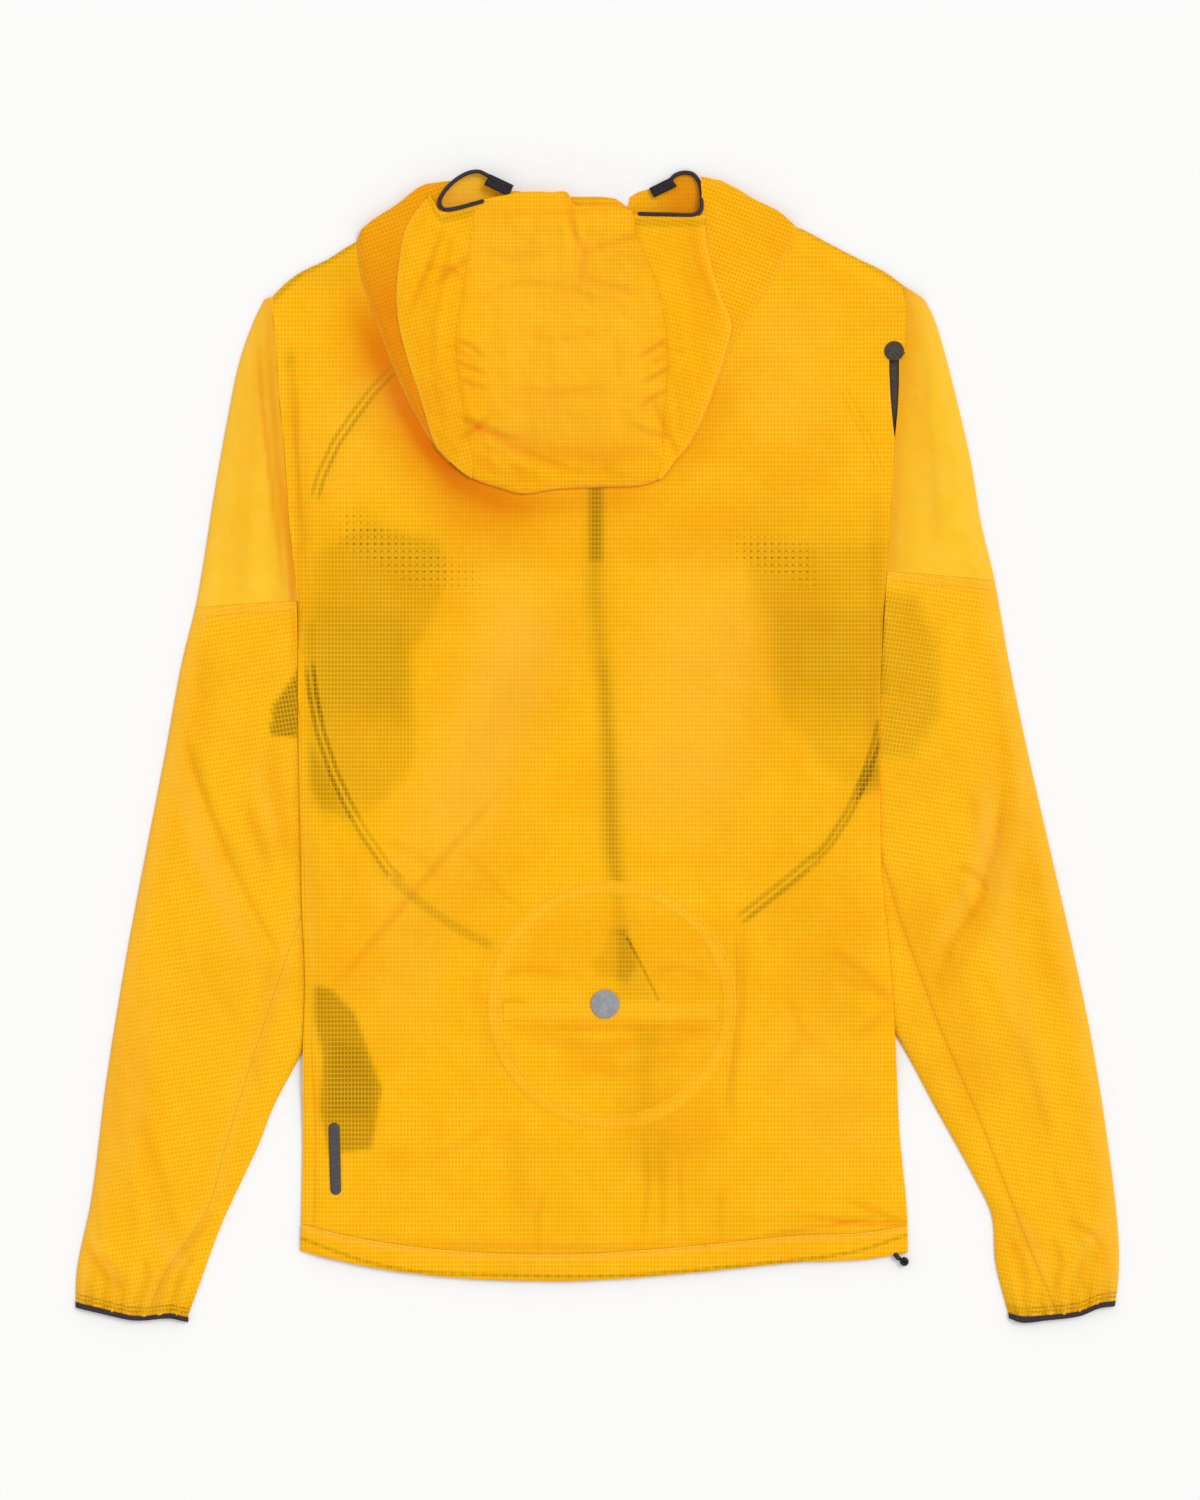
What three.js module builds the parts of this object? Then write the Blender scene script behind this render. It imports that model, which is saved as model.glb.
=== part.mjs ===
// Hooded windbreaker jacket, laid flat on its front with the hood lying on its back.
// Millimetres. +X is to the right seen from above, +Y towards the hood, +Z up off the surface.
// The origin is the middle of the jacket's outline, on the surface that it lies on.
import * as THREE from 'three';

// Driving dimensions
const wall = 1.0; // cloth
const seamGap = 0.3; // between two cuts at a seam
const curvedSeamGap = 0.8; // the same where the seam curves between coarse rows
const restGap = 0.4; // under a piece that lies on a panel
const bodyHollow = 2.4; // between front and back inside the body
const sideHollow = 0.55; // the same at the side folds and shoulder seams
const underarm = 96; // lowest point of the armholes
const sleeveLift = 4.0; // how far the body's sides ride up over the sleeves
const sleeveCrest = 4.9; // height of a sleeve at its middle
const sleeveEdgeCrest = 3.5; // height of a sleeve where the body covers it
const sleeveMiddle = 1.75; // height of the middle of a sleeve's fold
const headDrop = 1.6; // how much flatter the sleeve head is at the shoulder
const cuffDrop = 1.1; // how much flatter the sleeve is at the cuff
const cuffCrest = 3.4; // height of the cuff binding
const foldRadius = 6; // width of the rounding at a sleeve's fold
const hemDepth = 18; // drawcord channel along the hem
const hemWall = 1.4;
const sideTurn = 7; // left front turned round the side fold
const hoodUnder = 4.9; // underside of the hood on the back
const hoodLayer = 1.2; // side wings of the hood
const hoodCrest = 9.3; // top of the hood's upper layer
const hoodRadius = 9; // width of the rounding at the hood's folds
const zipHalf = 4.2; // front edge to the middle of the zip
const coilHalf = 2.2; // half the width of the zip's coil
const tapeReach = 11; // zip tape to the middle of the zip
const pocketTape = { x: 8.6, y: -170.9, outer: 82.5, inner: 73 };
const pocketLip = { above: 1.3, below: -10.6, reach: 71 };
const dot = { x: 4.6, y: -170.3, radius: 9.5 };
const ventDot = { x: 195.4, y: 260.7, radius: 6.5 };
const ventDotLeft = { x: -203, y: 256, radius: 6.5 };
const label = { x: -173.6, y: -272.3, width: 7.2, length: 47.6, tilt: 1.5 };
const toggle = { x: 202.2, y: -340.4, radius: 2.8, neck: 1.1 };
const bindingRadius = 1.15;

// Outline of the body, seen from above
const bodyLeftRows = [
  { y: 296, x: -215.8 }, { y: 264, x: -212.5 }, { y: 227, x: -209.9 }, { y: 192, x: -206.6 },
  { y: 149, x: -203.9 }, { y: 96, x: -198.7 }, { y: 30, x: -198 }, { y: -102, x: -195.4 },
  { y: -152, x: -193.4 }, { y: -203, x: -194.7 }, { y: -286, x: -195.4 }, { y: -334, x: -196.7 },
];
const bodyRightRows = [
  { y: 303, x: 203.3 }, { y: 272, x: 203.3 }, { y: 246, x: 201.3 }, { y: 224, x: 198.7 },
  { y: 203, x: 196 }, { y: 149, x: 192.7 }, { y: 96, x: 189.4 }, { y: 30, x: 186.1 },
  { y: -36, x: 186.1 }, { y: -88, x: 187.4 }, { y: -136, x: 192.1 }, { y: -191, x: 196 },
  { y: -257, x: 199.3 }, { y: -305, x: 203.9 }, { y: -335, x: 204.6 },
];
const hemRows = [
  { x: -196.7, y: -333.3 }, { x: -173, y: -339.2 }, { x: -139, y: -345.8 }, { x: -91, y: -351.1 },
  { x: -45, y: -353.1 }, { x: 1, y: -352.4 }, { x: 67, y: -347.2 }, { x: 133, y: -340.6 },
  { x: 172, y: -339.2 }, { x: 204.6, y: -334.6 },
];
const shoulderRows = [
  { x: -215.8, y: 296 }, { x: -206.6, y: 305.6 }, { x: -195.4, y: 313.5 }, { x: -178.9, y: 321.4 },
  { x: -159, y: 333.3 }, { x: -120, y: 346 }, { x: -80, y: 353 }, { x: -40, y: 344 },
  { x: 0, y: 341 }, { x: 40, y: 345 }, { x: 80, y: 354 }, { x: 105, y: 350 },
  { x: 131, y: 343 }, { x: 152.5, y: 332 }, { x: 173, y: 321.4 }, { x: 189, y: 313.5 },
  { x: 203.3, y: 303 },
];
const frontNeckRows = [
  { x: -80, y: 353 }, { x: -64, y: 338 }, { x: -40, y: 326 }, { x: 0, y: 319 },
  { x: 40, y: 325 }, { x: 64, y: 338 }, { x: 80, y: 354 },
];
const zipRows = [
  { y: 319, x: 14 }, { y: 275, x: 9.2 }, { y: 169, x: 1.3 }, { y: 96, x: -0.7 }, { y: 30, x: 0 },
  { y: -9, x: 4.5 }, { y: -69, x: 9.5 }, { y: -95, x: 13 }, { y: -135, x: 21.5 },
  { y: -168, x: 28 }, { y: -207, x: 31 }, { y: -286, x: 32 }, { y: -339, x: 34 },
];

// Sleeves: outer fold, hidden and open inner fold, under-sleeve seam, head, yoke seam and cuff
const leftSleeve = {
  side: -1,
  body: bodyLeftRows,
  outer: [
    { y: 295, x: -220.5 }, { y: 282, x: -227 }, { y: 256, x: -236.3 }, { y: 226, x: -242.9 },
    { y: 171, x: -252.8 }, { y: 98, x: -264.7 }, { y: 54, x: -275.2 }, { y: -7, x: -286.4 },
    { y: -75, x: -299.6 }, { y: -138, x: -311.5 }, { y: -220, x: -324.7 }, { y: -298, x: -334.6 },
    { y: -344, x: -344 }, { y: -367, x: -345.2 }, { y: -376, x: -345 },
  ],
  inner: [
    { y: 96, x: -198 }, { y: 34, x: -192 }, { y: 14, x: -176 }, { y: -20, x: -163 },
    { y: -75, x: -160 }, { y: -140, x: -168 }, { y: -180, x: -183 }, { y: -205, x: -196.7 },
    { y: -237, x: -213.8 }, { y: -263, x: -224 }, { y: -315, x: -248.2 }, { y: -358, x: -264 },
    { y: -376, x: -270.6 },
  ],
  underSeam: [
    { y: 96, x: -199.2 }, { y: 40, x: -198.8 }, { y: 14, x: -187 }, { y: -20, x: -182 },
    { y: -60, x: -184 }, { y: -105, x: -194 }, { y: -152, x: -209.9 }, { y: -224, x: -233.6 },
    { y: -265, x: -246.2 }, { y: -306, x: -258.1 }, { y: -346, x: -284.5 }, { y: -372, x: -296.3 },
  ],
  head: [{ x: -228, y: 291 }, { x: -220.5, y: 295 }, { x: -215, y: 296 }],
  yokeSeam: [{ x: -270, y: 91 }, { x: -230, y: 94 }, { x: -190, y: 96 }],
  cuff: [
    { x: -345, y: -367.6 }, { x: -331, y: -370.9 }, { x: -309, y: -376.2 }, { x: -299.6, y: -376.7 },
    { x: -283, y: -375 }, { x: -270.6, y: -377.8 },
  ],
  cuffEnd: [
    { x: -345, y: -370.4 }, { x: -331, y: -373.7 }, { x: -309, y: -378.6 }, { x: -299.6, y: -378.9 },
    { x: -283, y: -377.6 }, { x: -270.6, y: -380.2 },
  ],
  slips: { from: 98, to: 36, leaves: -206, clear: -264 },
};
const rightSleeve = {
  side: 1,
  body: bodyRightRows,
  outer: [
    { y: 295, x: 215.8 }, { y: 282, x: 222.4 }, { y: 248, x: 232.3 }, { y: 189, x: 246.2 },
    { y: 149, x: 252.8 }, { y: 110, x: 262 }, { y: 54, x: 271.9 }, { y: -9, x: 285.1 },
    { y: -75, x: 300.3 }, { y: -136, x: 314.2 }, { y: -197, x: 326.7 }, { y: -269, x: 337.9 },
    { y: -324, x: 343.9 }, { y: -352, x: 343.9 }, { y: -376, x: 340.6 },
  ],
  inner: [
    { y: 96, x: 188.6 }, { y: 34, x: 181 }, { y: 14, x: 167 }, { y: -20, x: 154 },
    { y: -75, x: 151 }, { y: -130, x: 160 }, { y: -170, x: 180 }, { y: -191, x: 196.7 },
    { y: -239, x: 223.1 }, { y: -287, x: 249.5 }, { y: -310, x: 260 }, { y: -342, x: 262.7 },
    { y: -376, x: 271.3 },
  ],
  underSeam: [
    { y: 96, x: 190 }, { y: 40, x: 187.2 }, { y: 14, x: 178 }, { y: -20, x: 173 },
    { y: -50, x: 177 }, { y: -79, x: 188.8 }, { y: -114, x: 199.3 }, { y: -152, x: 213.2 },
    { y: -186, x: 225.7 }, { y: -241, x: 249.5 }, { y: -293, x: 269.9 }, { y: -334, x: 285.8 },
    { y: -372, x: 302.3 },
  ],
  head: [{ x: 203, y: 303 }, { x: 215.8, y: 295 }, { x: 224, y: 289 }],
  yokeSeam: [{ x: 180, y: 116 }, { x: 220, y: 113 }, { x: 265, y: 109 }],
  cuff: [
    { x: 271, y: -374.9 }, { x: 280.5, y: -376.9 }, { x: 295, y: -376.2 }, { x: 318, y: -373.4 },
    { x: 330.7, y: -368 }, { x: 341, y: -367 },
  ],
  cuffEnd: [
    { x: 271, y: -377.6 }, { x: 280.5, y: -380.4 }, { x: 295, y: -379 }, { x: 318, y: -376 },
    { x: 330.7, y: -370.8 }, { x: 341, y: -369.6 },
  ],
  slips: { from: 98, to: 36, leaves: -193, clear: -250 },
};

// Hood: outer contour, inner crease, strip seams, mouth
const hoodLeftRows = [
  { y: 334, x: -159.1 }, { y: 312, x: -157.1 }, { y: 286, x: -148.5 }, { y: 255, x: -137.3 },
  { y: 225, x: -124.1 }, { y: 199, x: -108.9 }, { y: 186, x: -98 }, { y: 176, x: -87 },
];
const hoodRightRows = [
  { y: 338, x: 132 }, { y: 306, x: 114.2 }, { y: 275, x: 94.4 }, { y: 247, x: 81.2 },
  { y: 218, x: 70.6 }, { y: 197, x: 59.4 }, { y: 184, x: 47.5 }, { y: 176, x: 42.5 },
];
const creaseLeftRows = [
  { y: 366, x: -110 }, { y: 343, x: -126.7 }, { y: 317, x: -132 }, { y: 290, x: -133.3 },
  { y: 264, x: -128.7 }, { y: 229, x: -117.5 }, { y: 199, x: -107.9 }, { y: 186, x: -97.4 },
  { y: 176, x: -87 },
];
const creaseRightRows = [
  { y: 352, x: 70.6 }, { y: 328, x: 72.6 }, { y: 297, x: 81.2 }, { y: 277, x: 88.5 },
  { y: 247, x: 80.4 }, { y: 218, x: 69.8 }, { y: 197, x: 58.8 }, { y: 184, x: 47 },
  { y: 176, x: 42.5 },
];
const stripLeftRows = [
  { y: 366, x: -78.5 }, { y: 345, x: -82.5 }, { y: 312, x: -87.1 }, { y: 269, x: -93.7 },
  { y: 242, x: -91.7 }, { y: 212, x: -87.1 }, { y: 190, x: -82.5 }, { y: 176, x: -83.2 },
];
const stripRightRows = [
  { y: 366, x: 16 }, { y: 352, x: 22.4 }, { y: 334, x: 26.4 }, { y: 312, x: 35.6 },
  { y: 290, x: 42.2 }, { y: 255, x: 46 }, { y: 214, x: 42.9 }, { y: 183, x: 40.9 },
  { y: 170, x: 38 },
];
const crownRows = [
  { x: -84, y: 174.4 }, { x: -65, y: 170.3 }, { x: -50, y: 165.9 }, { x: -28, y: 168.8 },
  { x: 0, y: 170.2 }, { x: 26, y: 170.9 }, { x: 41, y: 175 },
];
const brimRows = [
  { x: -79, y: 362.5 }, { x: -60, y: 365 }, { x: -30, y: 365 }, { x: -20, y: 364.6 },
  { x: -16, y: 356.6 }, { x: 2.6, y: 355.7 }, { x: 16, y: 354.6 }, { x: 24, y: 352 },
];
const mouthLeftRows = [
  { x: -112, y: 366 }, { x: -105, y: 352 }, { x: -98, y: 351.5 }, { x: -78, y: 356.5 },
];
const mouthRightRows = [
  { x: 22, y: 349.6 }, { x: 30, y: 348.4 }, { x: 66, y: 348.2 }, { x: 72, y: 350 },
];
const wingLeftTop = [
  { x: -86, y: 349 }, { x: -106, y: 350 }, { x: -107.5, y: 369.5 }, { x: -120, y: 367.5 },
  { x: -131, y: 358.4 }, { x: -148.5, y: 347.2 },
];
const wingRightTop = [
  { x: 130, y: 343.5 }, { x: 118.8, y: 353.1 }, { x: 103.6, y: 360.4 }, { x: 90.4, y: 368.3 },
  { x: 81.2, y: 372.9 }, { x: 71.5, y: 375 }, { x: 70.5, y: 346.5 }, { x: 27, y: 346 },
];
const collarLeftTop = [
  { x: 17, y: 357.5 }, { x: 11.9, y: 361.7 }, { x: 2.6, y: 363 }, { x: -17.8, y: 363 },
  { x: -57, y: 367 }, { x: -70, y: 373.6 }, { x: -78.5, y: 377 }, { x: -85, y: 376 },
  { x: -91, y: 372 }, { x: -97, y: 366 }, { x: -101, y: 359 },
];
const collarRightTop = [
  { x: 66, y: 359 }, { x: 65, y: 371 }, { x: 61.5, y: 375.3 }, { x: 57.5, y: 376.4 },
  { x: 52, y: 376 }, { x: 46, y: 372.4 }, { x: 33.7, y: 367.8 }, { x: 27, y: 366.3 },
  { x: 21.3, y: 363 }, { x: 20, y: 357.5 },
];
const bindingLeftPath = [
  { x: -81.4, y: 357.4, z: 7.9 }, { x: -91, y: 354.8, z: 7.8 }, { x: -101, y: 353.4, z: 7.0 },
  { x: -104.2, y: 356.5, z: 6.0 }, { x: -103.8, y: 361, z: 4.6 }, { x: -99.5, y: 367.8, z: 3.2 },
  { x: -92.5, y: 374.2, z: 2.1 }, { x: -85, y: 378.2, z: 1.4 }, { x: -78.5, y: 379.2, z: 1.3 },
  { x: -72.3, y: 376.6, z: 1.3 },
];
const bindingRightPath = [
  { x: 29, y: 350.6, z: 7.9 }, { x: 48, y: 350.1, z: 7.9 }, { x: 63, y: 350.1, z: 7.4 },
  { x: 67.6, y: 352.9, z: 6.6 }, { x: 68.4, y: 358, z: 5.2 }, { x: 68.4, y: 364, z: 3.6 },
  { x: 66.8, y: 372.2, z: 2.1 }, { x: 62.7, y: 377.6, z: 1.4 }, { x: 57, y: 379, z: 1.3 },
  { x: 51.4, y: 377.9, z: 1.3 },
];
const tabLeft = [
  { x: -70, y: 375 }, { x: -56.8, y: 368.9 }, { x: -59.4, y: 363.7 }, { x: -73.4, y: 369.8 },
];
const tabRight = [
  { x: 33.7, y: 368.3 }, { x: 48.2, y: 375.6 }, { x: 52.1, y: 369.6 }, { x: 37, y: 362.3 },
];

// Pocket bags and vent meshes between front and back
const pocketBlocks = {
  meshLeft: { columnFrom: 3, columnTo: 6, rowFrom: 2, rowTo: 9 },
  meshRight: { columnFrom: 3, columnTo: 6, rowFrom: 2, rowTo: 8 },
  handLeft: { columnFrom: 2, columnTo: 4, rowFrom: 4, rowTo: 8 },
};
const ventMeshRight = [{ y: 250, left: 185, right: 206 }, { y: 199, left: 183, right: 203 }];
const ventMeshLeft = [{ y: 246, left: -219, right: -196 }, { y: 199, left: -214, right: -190 }];
const ventSlit = { top: 256, bottom: 203, width: 6.4 };

// Folds: soft ridges (height over 0) and troughs (under 0) from one end to the other
const backFolds = [
  { x: -98, y: -72, toX: -20, toY: 77, width: 22, height: 0.9 },
  { x: -144, y: -158, toX: -52, toY: -55, width: 20, height: 0.8 },
  { x: -60, y: -10, toX: 30, toY: 110, width: 24, height: -0.6 },
  { x: 90, y: -100, toX: 92, toY: -240, width: 12, height: 0.6 },
  { x: 120, y: 140, toX: 60, toY: -20, width: 26, height: 0.7 },
  { x: 150, y: 60, toX: 110, toY: -90, width: 20, height: -0.6 },
  { x: -172, y: 215, toX: -178, toY: 110, width: 16, height: 0.7 },
  { x: 158, y: 255, toX: 166, toY: 150, width: 16, height: 0.7 },
  { x: 66, y: -312, toX: 185, toY: -310, width: 7, height: 0.5 },
  { x: 100, y: -324, toX: 180, toY: -322, width: 6, height: 0.4 },
  { x: -130, y: -292, toX: -60, toY: -330, width: 16, height: 0.5 },
];
const leftSleeveFolds = [
  { x: -273, y: 9, toX: -237, toY: -87, width: 11, height: 0.9 },
  { x: -237, y: -87, toX: -204, toY: -158, width: 11, height: 0.9 },
  { x: -228, y: 270, toX: -236, toY: 136, width: 9, height: 0.8 },
  { x: -236, y: 136, toX: -245, toY: 38, width: 9, height: -0.7 },
  { x: -230, y: -38, toX: -219, toY: -77, width: 8, height: 0.6 },
  { x: -300, y: -190, toX: -262, toY: -290, width: 12, height: 0.7 },
];
const rightSleeveFolds = [
  { x: 262, y: -75, toX: 234, toY: -140, width: 10, height: 0.9 },
  { x: 240, y: -87, toX: 250, toY: -112, width: 8, height: 0.7 },
  { x: 232, y: 240, toX: 240, toY: 120, width: 10, height: 0.8 },
  { x: 256, y: 90, toX: 268, toY: -40, width: 10, height: -0.7 },
  { x: 282, y: -150, toX: 304, toY: -270, width: 12, height: 0.8 },
  { x: 262, y: -300, toX: 288, toY: -336, width: 8, height: 0.6 },
];
const hoodFolds = [
  { x: -22, y: 360, toX: -21, toY: 300, width: 9, height: 0.9 },
  { x: -10, y: 352, toX: -9, toY: 296, width: 8, height: -0.8 },
  { x: -60, y: 340, toX: -40, toY: 230, width: 18, height: -0.6 },
  { x: 14, y: 318, toX: -12, toY: 306, width: 9, height: -0.7 },
  { x: 20, y: 280, toX: 4, toY: 190, width: 14, height: 0.7 },
  { x: -104, y: 330, toX: -112, toY: 240, width: 12, height: 0.7 },
  { x: -72, y: 190, toX: -40, toY: 182, width: 7, height: 0.7 },
  { x: 58, y: 320, toX: 66, toY: 240, width: 10, height: -0.6 },
];
const cuffGathers = { count: 7, length: 30, height: 0.7 };
const sleeveRuns = { cover: 50, head: 40, side: 26, folds: 16, cuff: 14 }; // lengths of slopes

// Colours
const bodyOrange = 0xfdb21c;
const sleeveOrange = 0xfcbb29;
const hoodOrange = 0xfdb92d;
const insideOrange = 0xf7a51a;
const darkMesh = 0x46403a;
const bindingPlum = 0x2f272d;
const tabBlack = 0x1d1717;
const silver = 0x96989a;
const labelGrey = 0x4b4844;

const windbreaker = new THREE.Group();
windbreaker.name = 'windbreaker_jacket';

// Maths
const mix = (a, b, t) => a + (b - a) * t;
const clamp01 = t => Math.min(1, Math.max(0, t));
const smooth = t => clamp01(t) * clamp01(t) * (3 - 2 * clamp01(t));
const roundEdge = t => Math.sqrt(1 - (1 - clamp01(t)) ** 2);

// A smooth curve through one column of a table, read at a value of another column
function curve(table, from = 'y', to = 'x') {
  const rows = [...table].sort((a, b) => a[from] - b[from]);
  const last = rows.length - 1;
  const slope = i => {
    const before = rows[Math.max(0, i - 1)];
    const after = rows[Math.min(last, i + 1)];
    return (after[to] - before[to]) / (after[from] - before[from]);
  };
  return at => {
    if (at <= rows[0][from]) return rows[0][to];
    if (at >= rows[last][from]) return rows[last][to];
    const i = rows.findIndex(row => row[from] > at) - 1;
    const span = rows[i + 1][from] - rows[i][from];
    const t = (at - rows[i][from]) / span;
    const bend = t * (1 - t) * span;
    const straight = mix(rows[i][to], rows[i + 1][to], smooth(t));
    return straight + bend * (slope(i) * (1 - t) - slope(i + 1) * t);
  };
}

function foldHeight(folds, x, y) {
  let sum = 0;
  for (const fold of folds) {
    const alongX = fold.toX - fold.x;
    const alongY = fold.toY - fold.y;
    const length = Math.hypot(alongX, alongY);
    const t = ((x - fold.x) * alongX + (y - fold.y) * alongY) / length ** 2;
    const away = Math.abs((x - fold.x) * alongY - (y - fold.y) * alongX) / length;
    const ends = smooth((t + 0.1) / 0.35) * smooth((1.1 - t) / 0.35);
    sum += fold.height * ends * Math.exp(-((away / (0.6 * fold.width)) ** 2));
  }
  return sum;
}

// Lines of the body
const bodyLeft = curve(bodyLeftRows);
const bodyRight = curve(bodyRightRows);
const hem = curve(hemRows, 'x', 'y');
const shoulder = curve(shoulderRows, 'x', 'y');
const frontNeck = curve(frontNeckRows, 'x', 'y');
const zipLine = curve(zipRows);
const neckReach = 80;
const frontTop = x => (Math.abs(x) < neckReach ? frontNeck(x) : shoulder(x));
const hemSeam = x => hem(x) + hemDepth;
const frontArc = { y: 70, wide: 208, below: 205, above: 226 };
const arcDepth = x => Math.sqrt(1 - Math.min(0.98, (x / frontArc.wide) ** 2));
const lowerArc = x => frontArc.y - frontArc.below * arcDepth(x);
const upperArc = x => frontArc.y + frontArc.above * arcDepth(x);
const turnRows = [
  { y: -334, in: 8.3 }, { y: -230, in: sideTurn }, { y: -180, in: 4.4 }, { y: -100, in: 2.2 },
  { y: 20, in: 1.6 },
];
const turnReach = curve(turnRows, 'y', 'in');

// How far the sleeve below lifts the body at a point
function liftOver(sleeve, x, y) {
  const { from, to, leaves, clear } = sleeve.slips;
  const along = smooth((from - y) / (from - to)) * smooth((y - clear) / (leaves - clear));
  const edge = curve(sleeve.body)(y);
  const fold = curve(sleeve.inner)(y);
  const covered = Math.max(0, (edge - fold) * sleeve.side);
  const inward = (edge - x) * sleeve.side - covered;
  const ramp = 44;
  return sleeveLift * along * (1 - smooth(inward / ramp));
}
const bodyLift = (x, y) => liftOver(leftSleeve, x, y) + liftOver(rightSleeve, x, y);

// Underside of the back panel: near the front at sides and shoulders, folded between
function backUnder(x, y) {
  const edgeRun = 15;
  const sideway = Math.min(x - bodyLeft(y), bodyRight(y) - x);
  const sideDrop = smooth((underarm + 20 - y) / 40) * (1 - smooth(sideway / edgeRun));
  const besideNeck = smooth((Math.abs(x) - neckReach) / 20);
  const shoulderDrop = besideNeck * (1 - smooth((shoulder(x) - y) / edgeRun));
  const drop = Math.max(sideDrop, shoulderDrop);
  const folds = foldHeight(backFolds, x, y) * (1 - drop);
  return bodyLift(x, y) + wall + mix(bodyHollow, sideHollow, drop) + folds;
}

// Solids from a grid of outer points and a grid of inner points
function closeGrids(outer, inner, wraps) {
  const rows = outer.length;
  const columns = outer[0].length;
  const positions = [...outer.flat(), ...inner.flat()].flatMap(p => [p.x, p.y, p.z]);
  const at = (i, j) => i * columns + (j % columns);
  const under = (i, j) => rows * columns + at(i, j);
  const faces = [];
  const quad = (a, b, c, d) => faces.push(a, b, c, a, c, d);
  const lastColumn = wraps ? columns : columns - 1;
  for (let i = 0; i < rows - 1; i++) {
    for (let j = 0; j < lastColumn; j++) {
      quad(at(i, j), at(i, j + 1), at(i + 1, j + 1), at(i + 1, j));
      quad(under(i, j), under(i + 1, j), under(i + 1, j + 1), under(i, j + 1));
    }
  }
  for (let j = 0; j < lastColumn; j++) {
    quad(at(0, j), under(0, j), under(0, j + 1), at(0, j + 1));
    quad(at(rows - 1, j), at(rows - 1, j + 1), under(rows - 1, j + 1), under(rows - 1, j));
  }
  for (let i = 0; i < rows - 1 && !wraps; i++) {
    quad(at(i, 0), at(i + 1, 0), under(i + 1, 0), under(i, 0));
    const end = columns - 1;
    quad(at(i, end), under(i, end), under(i + 1, end), at(i + 1, end));
  }
  const geometry = new THREE.BufferGeometry();
  geometry.setAttribute('position', new THREE.Float32BufferAttribute(positions, 3));
  geometry.setIndex(volume(positions, faces) < 0 ? faces.reverse() : faces);
  geometry.computeVertexNormals();
  return geometry;
}

function volume(positions, faces) {
  const point = i => new THREE.Vector3().fromArray(positions, 3 * i);
  let sum = 0;
  for (let i = 0; i < faces.length; i += 3) {
    const [a, b, c] = [point(faces[i]), point(faces[i + 1]), point(faces[i + 2])];
    sum += a.dot(b.cross(c));
  }
  return sum;
}

function add(name, geometry, color, roughness = 0.62) {
  const material = new THREE.MeshStandardMaterial({ color, roughness, metalness: 0 });
  const mesh = new THREE.Mesh(geometry, material);
  mesh.name = name;
  windbreaker.add(mesh);
  return mesh;
}

// Where a line across the rows meets a station between two edges
function meet(line, from, to, f) {
  let y = line((from(0) + to(0)) / 2);
  for (let i = 0; i < 12; i++) {
    y = mix(y, line(mix(from(y), to(y), f)), 0.7);
  }
  return y;
}

// Grid of x, y points between two edges and two lines
function gridPoints({ from, to, bottom, top, across, rows }) {
  const grid = [];
  for (let i = 0; i <= rows; i++) {
    grid.push(across.map(f => {
      const low = meet(bottom, from, to, f);
      const high = meet(top, from, to, f);
      const y = mix(high, low, i / rows);
      return { x: mix(from(y), to(y), f), y };
    }));
  }
  return grid;
}

// A sheet whose underside follows a height
function sheet(layout, underside, thick = wall) {
  const grid = gridPoints(layout);
  const lift = extra => grid.map(row => row.map(({ x, y }) => (
    new THREE.Vector3(x, y, underside(x, y) + extra))));
  return { geometry: closeGrids(lift(thick), lift(0), false), top: lift(thick) };
}

// Stations across a panel: evenly spaced, closer at one edge, or closer at both
const even = n => Array.from({ length: n + 1 }, (_, k) => k / n);
const closerAtStart = n => even(n).map(t => t ** 1.5);
const closerAtEnd = (n, power) => even(n).map(t => 1 - (1 - t) ** power);
const closerAtBoth = n => even(n).map(t => mix(t, (1 - Math.cos(Math.PI * t)) / 2, 0.62));

// A wall bent round a fold: one layer below, one above, both ending at a seam.
// Its own axes are a, across to the fold, and b, along it. The inner points move off the fold
// by the wall, and only near it.
function foldedWall({ seamAbove, seamBelow, fold, startLine, endLine, stations, stationsAbove, rows,
  base, middle, crest, radius, place, thick = wall }) {
  const side = Math.sign(fold(0) - seamAbove(0)) || 1;
  const layer = (seam, across, inset, isUpper) => even(rows).map(v => across.map(f => {
    const start = meet(startLine, seam, fold, f);
    const end = meet(endLine, seam, fold, f);
    const b = mix(start, end, v);
    const straight = mix(seam(b), fold(b), f);
    const near = clamp01(1 - Math.abs(fold(b) - straight) / (radius + inset));
    const a = straight - side * inset * near;
    const { x, y } = place(a, b, 0);
    const round = roundEdge(Math.abs(fold(b) - side * inset - a) / radius);
    const level = middle(x, y);
    const reach = isUpper ? crest(x, y) - inset : base(x, y) + inset;
    return place(a, b, mix(level, reach, round));
  }));
  const turned = inset => {
    const upper = layer(seamAbove, stationsAbove ?? stations, inset, true);
    const lower = layer(seamBelow, stations, inset, false);
    return upper.map((row, i) => [...row, ...lower[i].slice(0, -1).reverse()]);
  };
  return closeGrids(turned(0), turned(thick), false);
}
const upright = (a, b, z) => new THREE.Vector3(a, b, z);
const sideways = (a, b, z) => new THREE.Vector3(b, a, z);

// A flat plate from an outline
function plate(points, under, thick) {
  const shape = new THREE.Shape(points.map(p => new THREE.Vector2(p.x, p.y)));
  const geometry = new THREE.ExtrudeGeometry(shape, { depth: thick, bevelEnabled: false });
  return geometry.translate(0, 0, under);
}

// A round cord through points
function cordAlong(points, radius, steps) {
  const path = new THREE.CatmullRomCurve3(points.map(p => new THREE.Vector3(p.x, p.y, p.z)));
  const section = new THREE.Shape(even(6).slice(0, -1).map(t => new THREE.Vector2(
    radius * Math.cos(2 * Math.PI * t), radius * Math.sin(2 * Math.PI * t))));
  return new THREE.ExtrudeGeometry(section, { steps, extrudePath: path });
}

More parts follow.
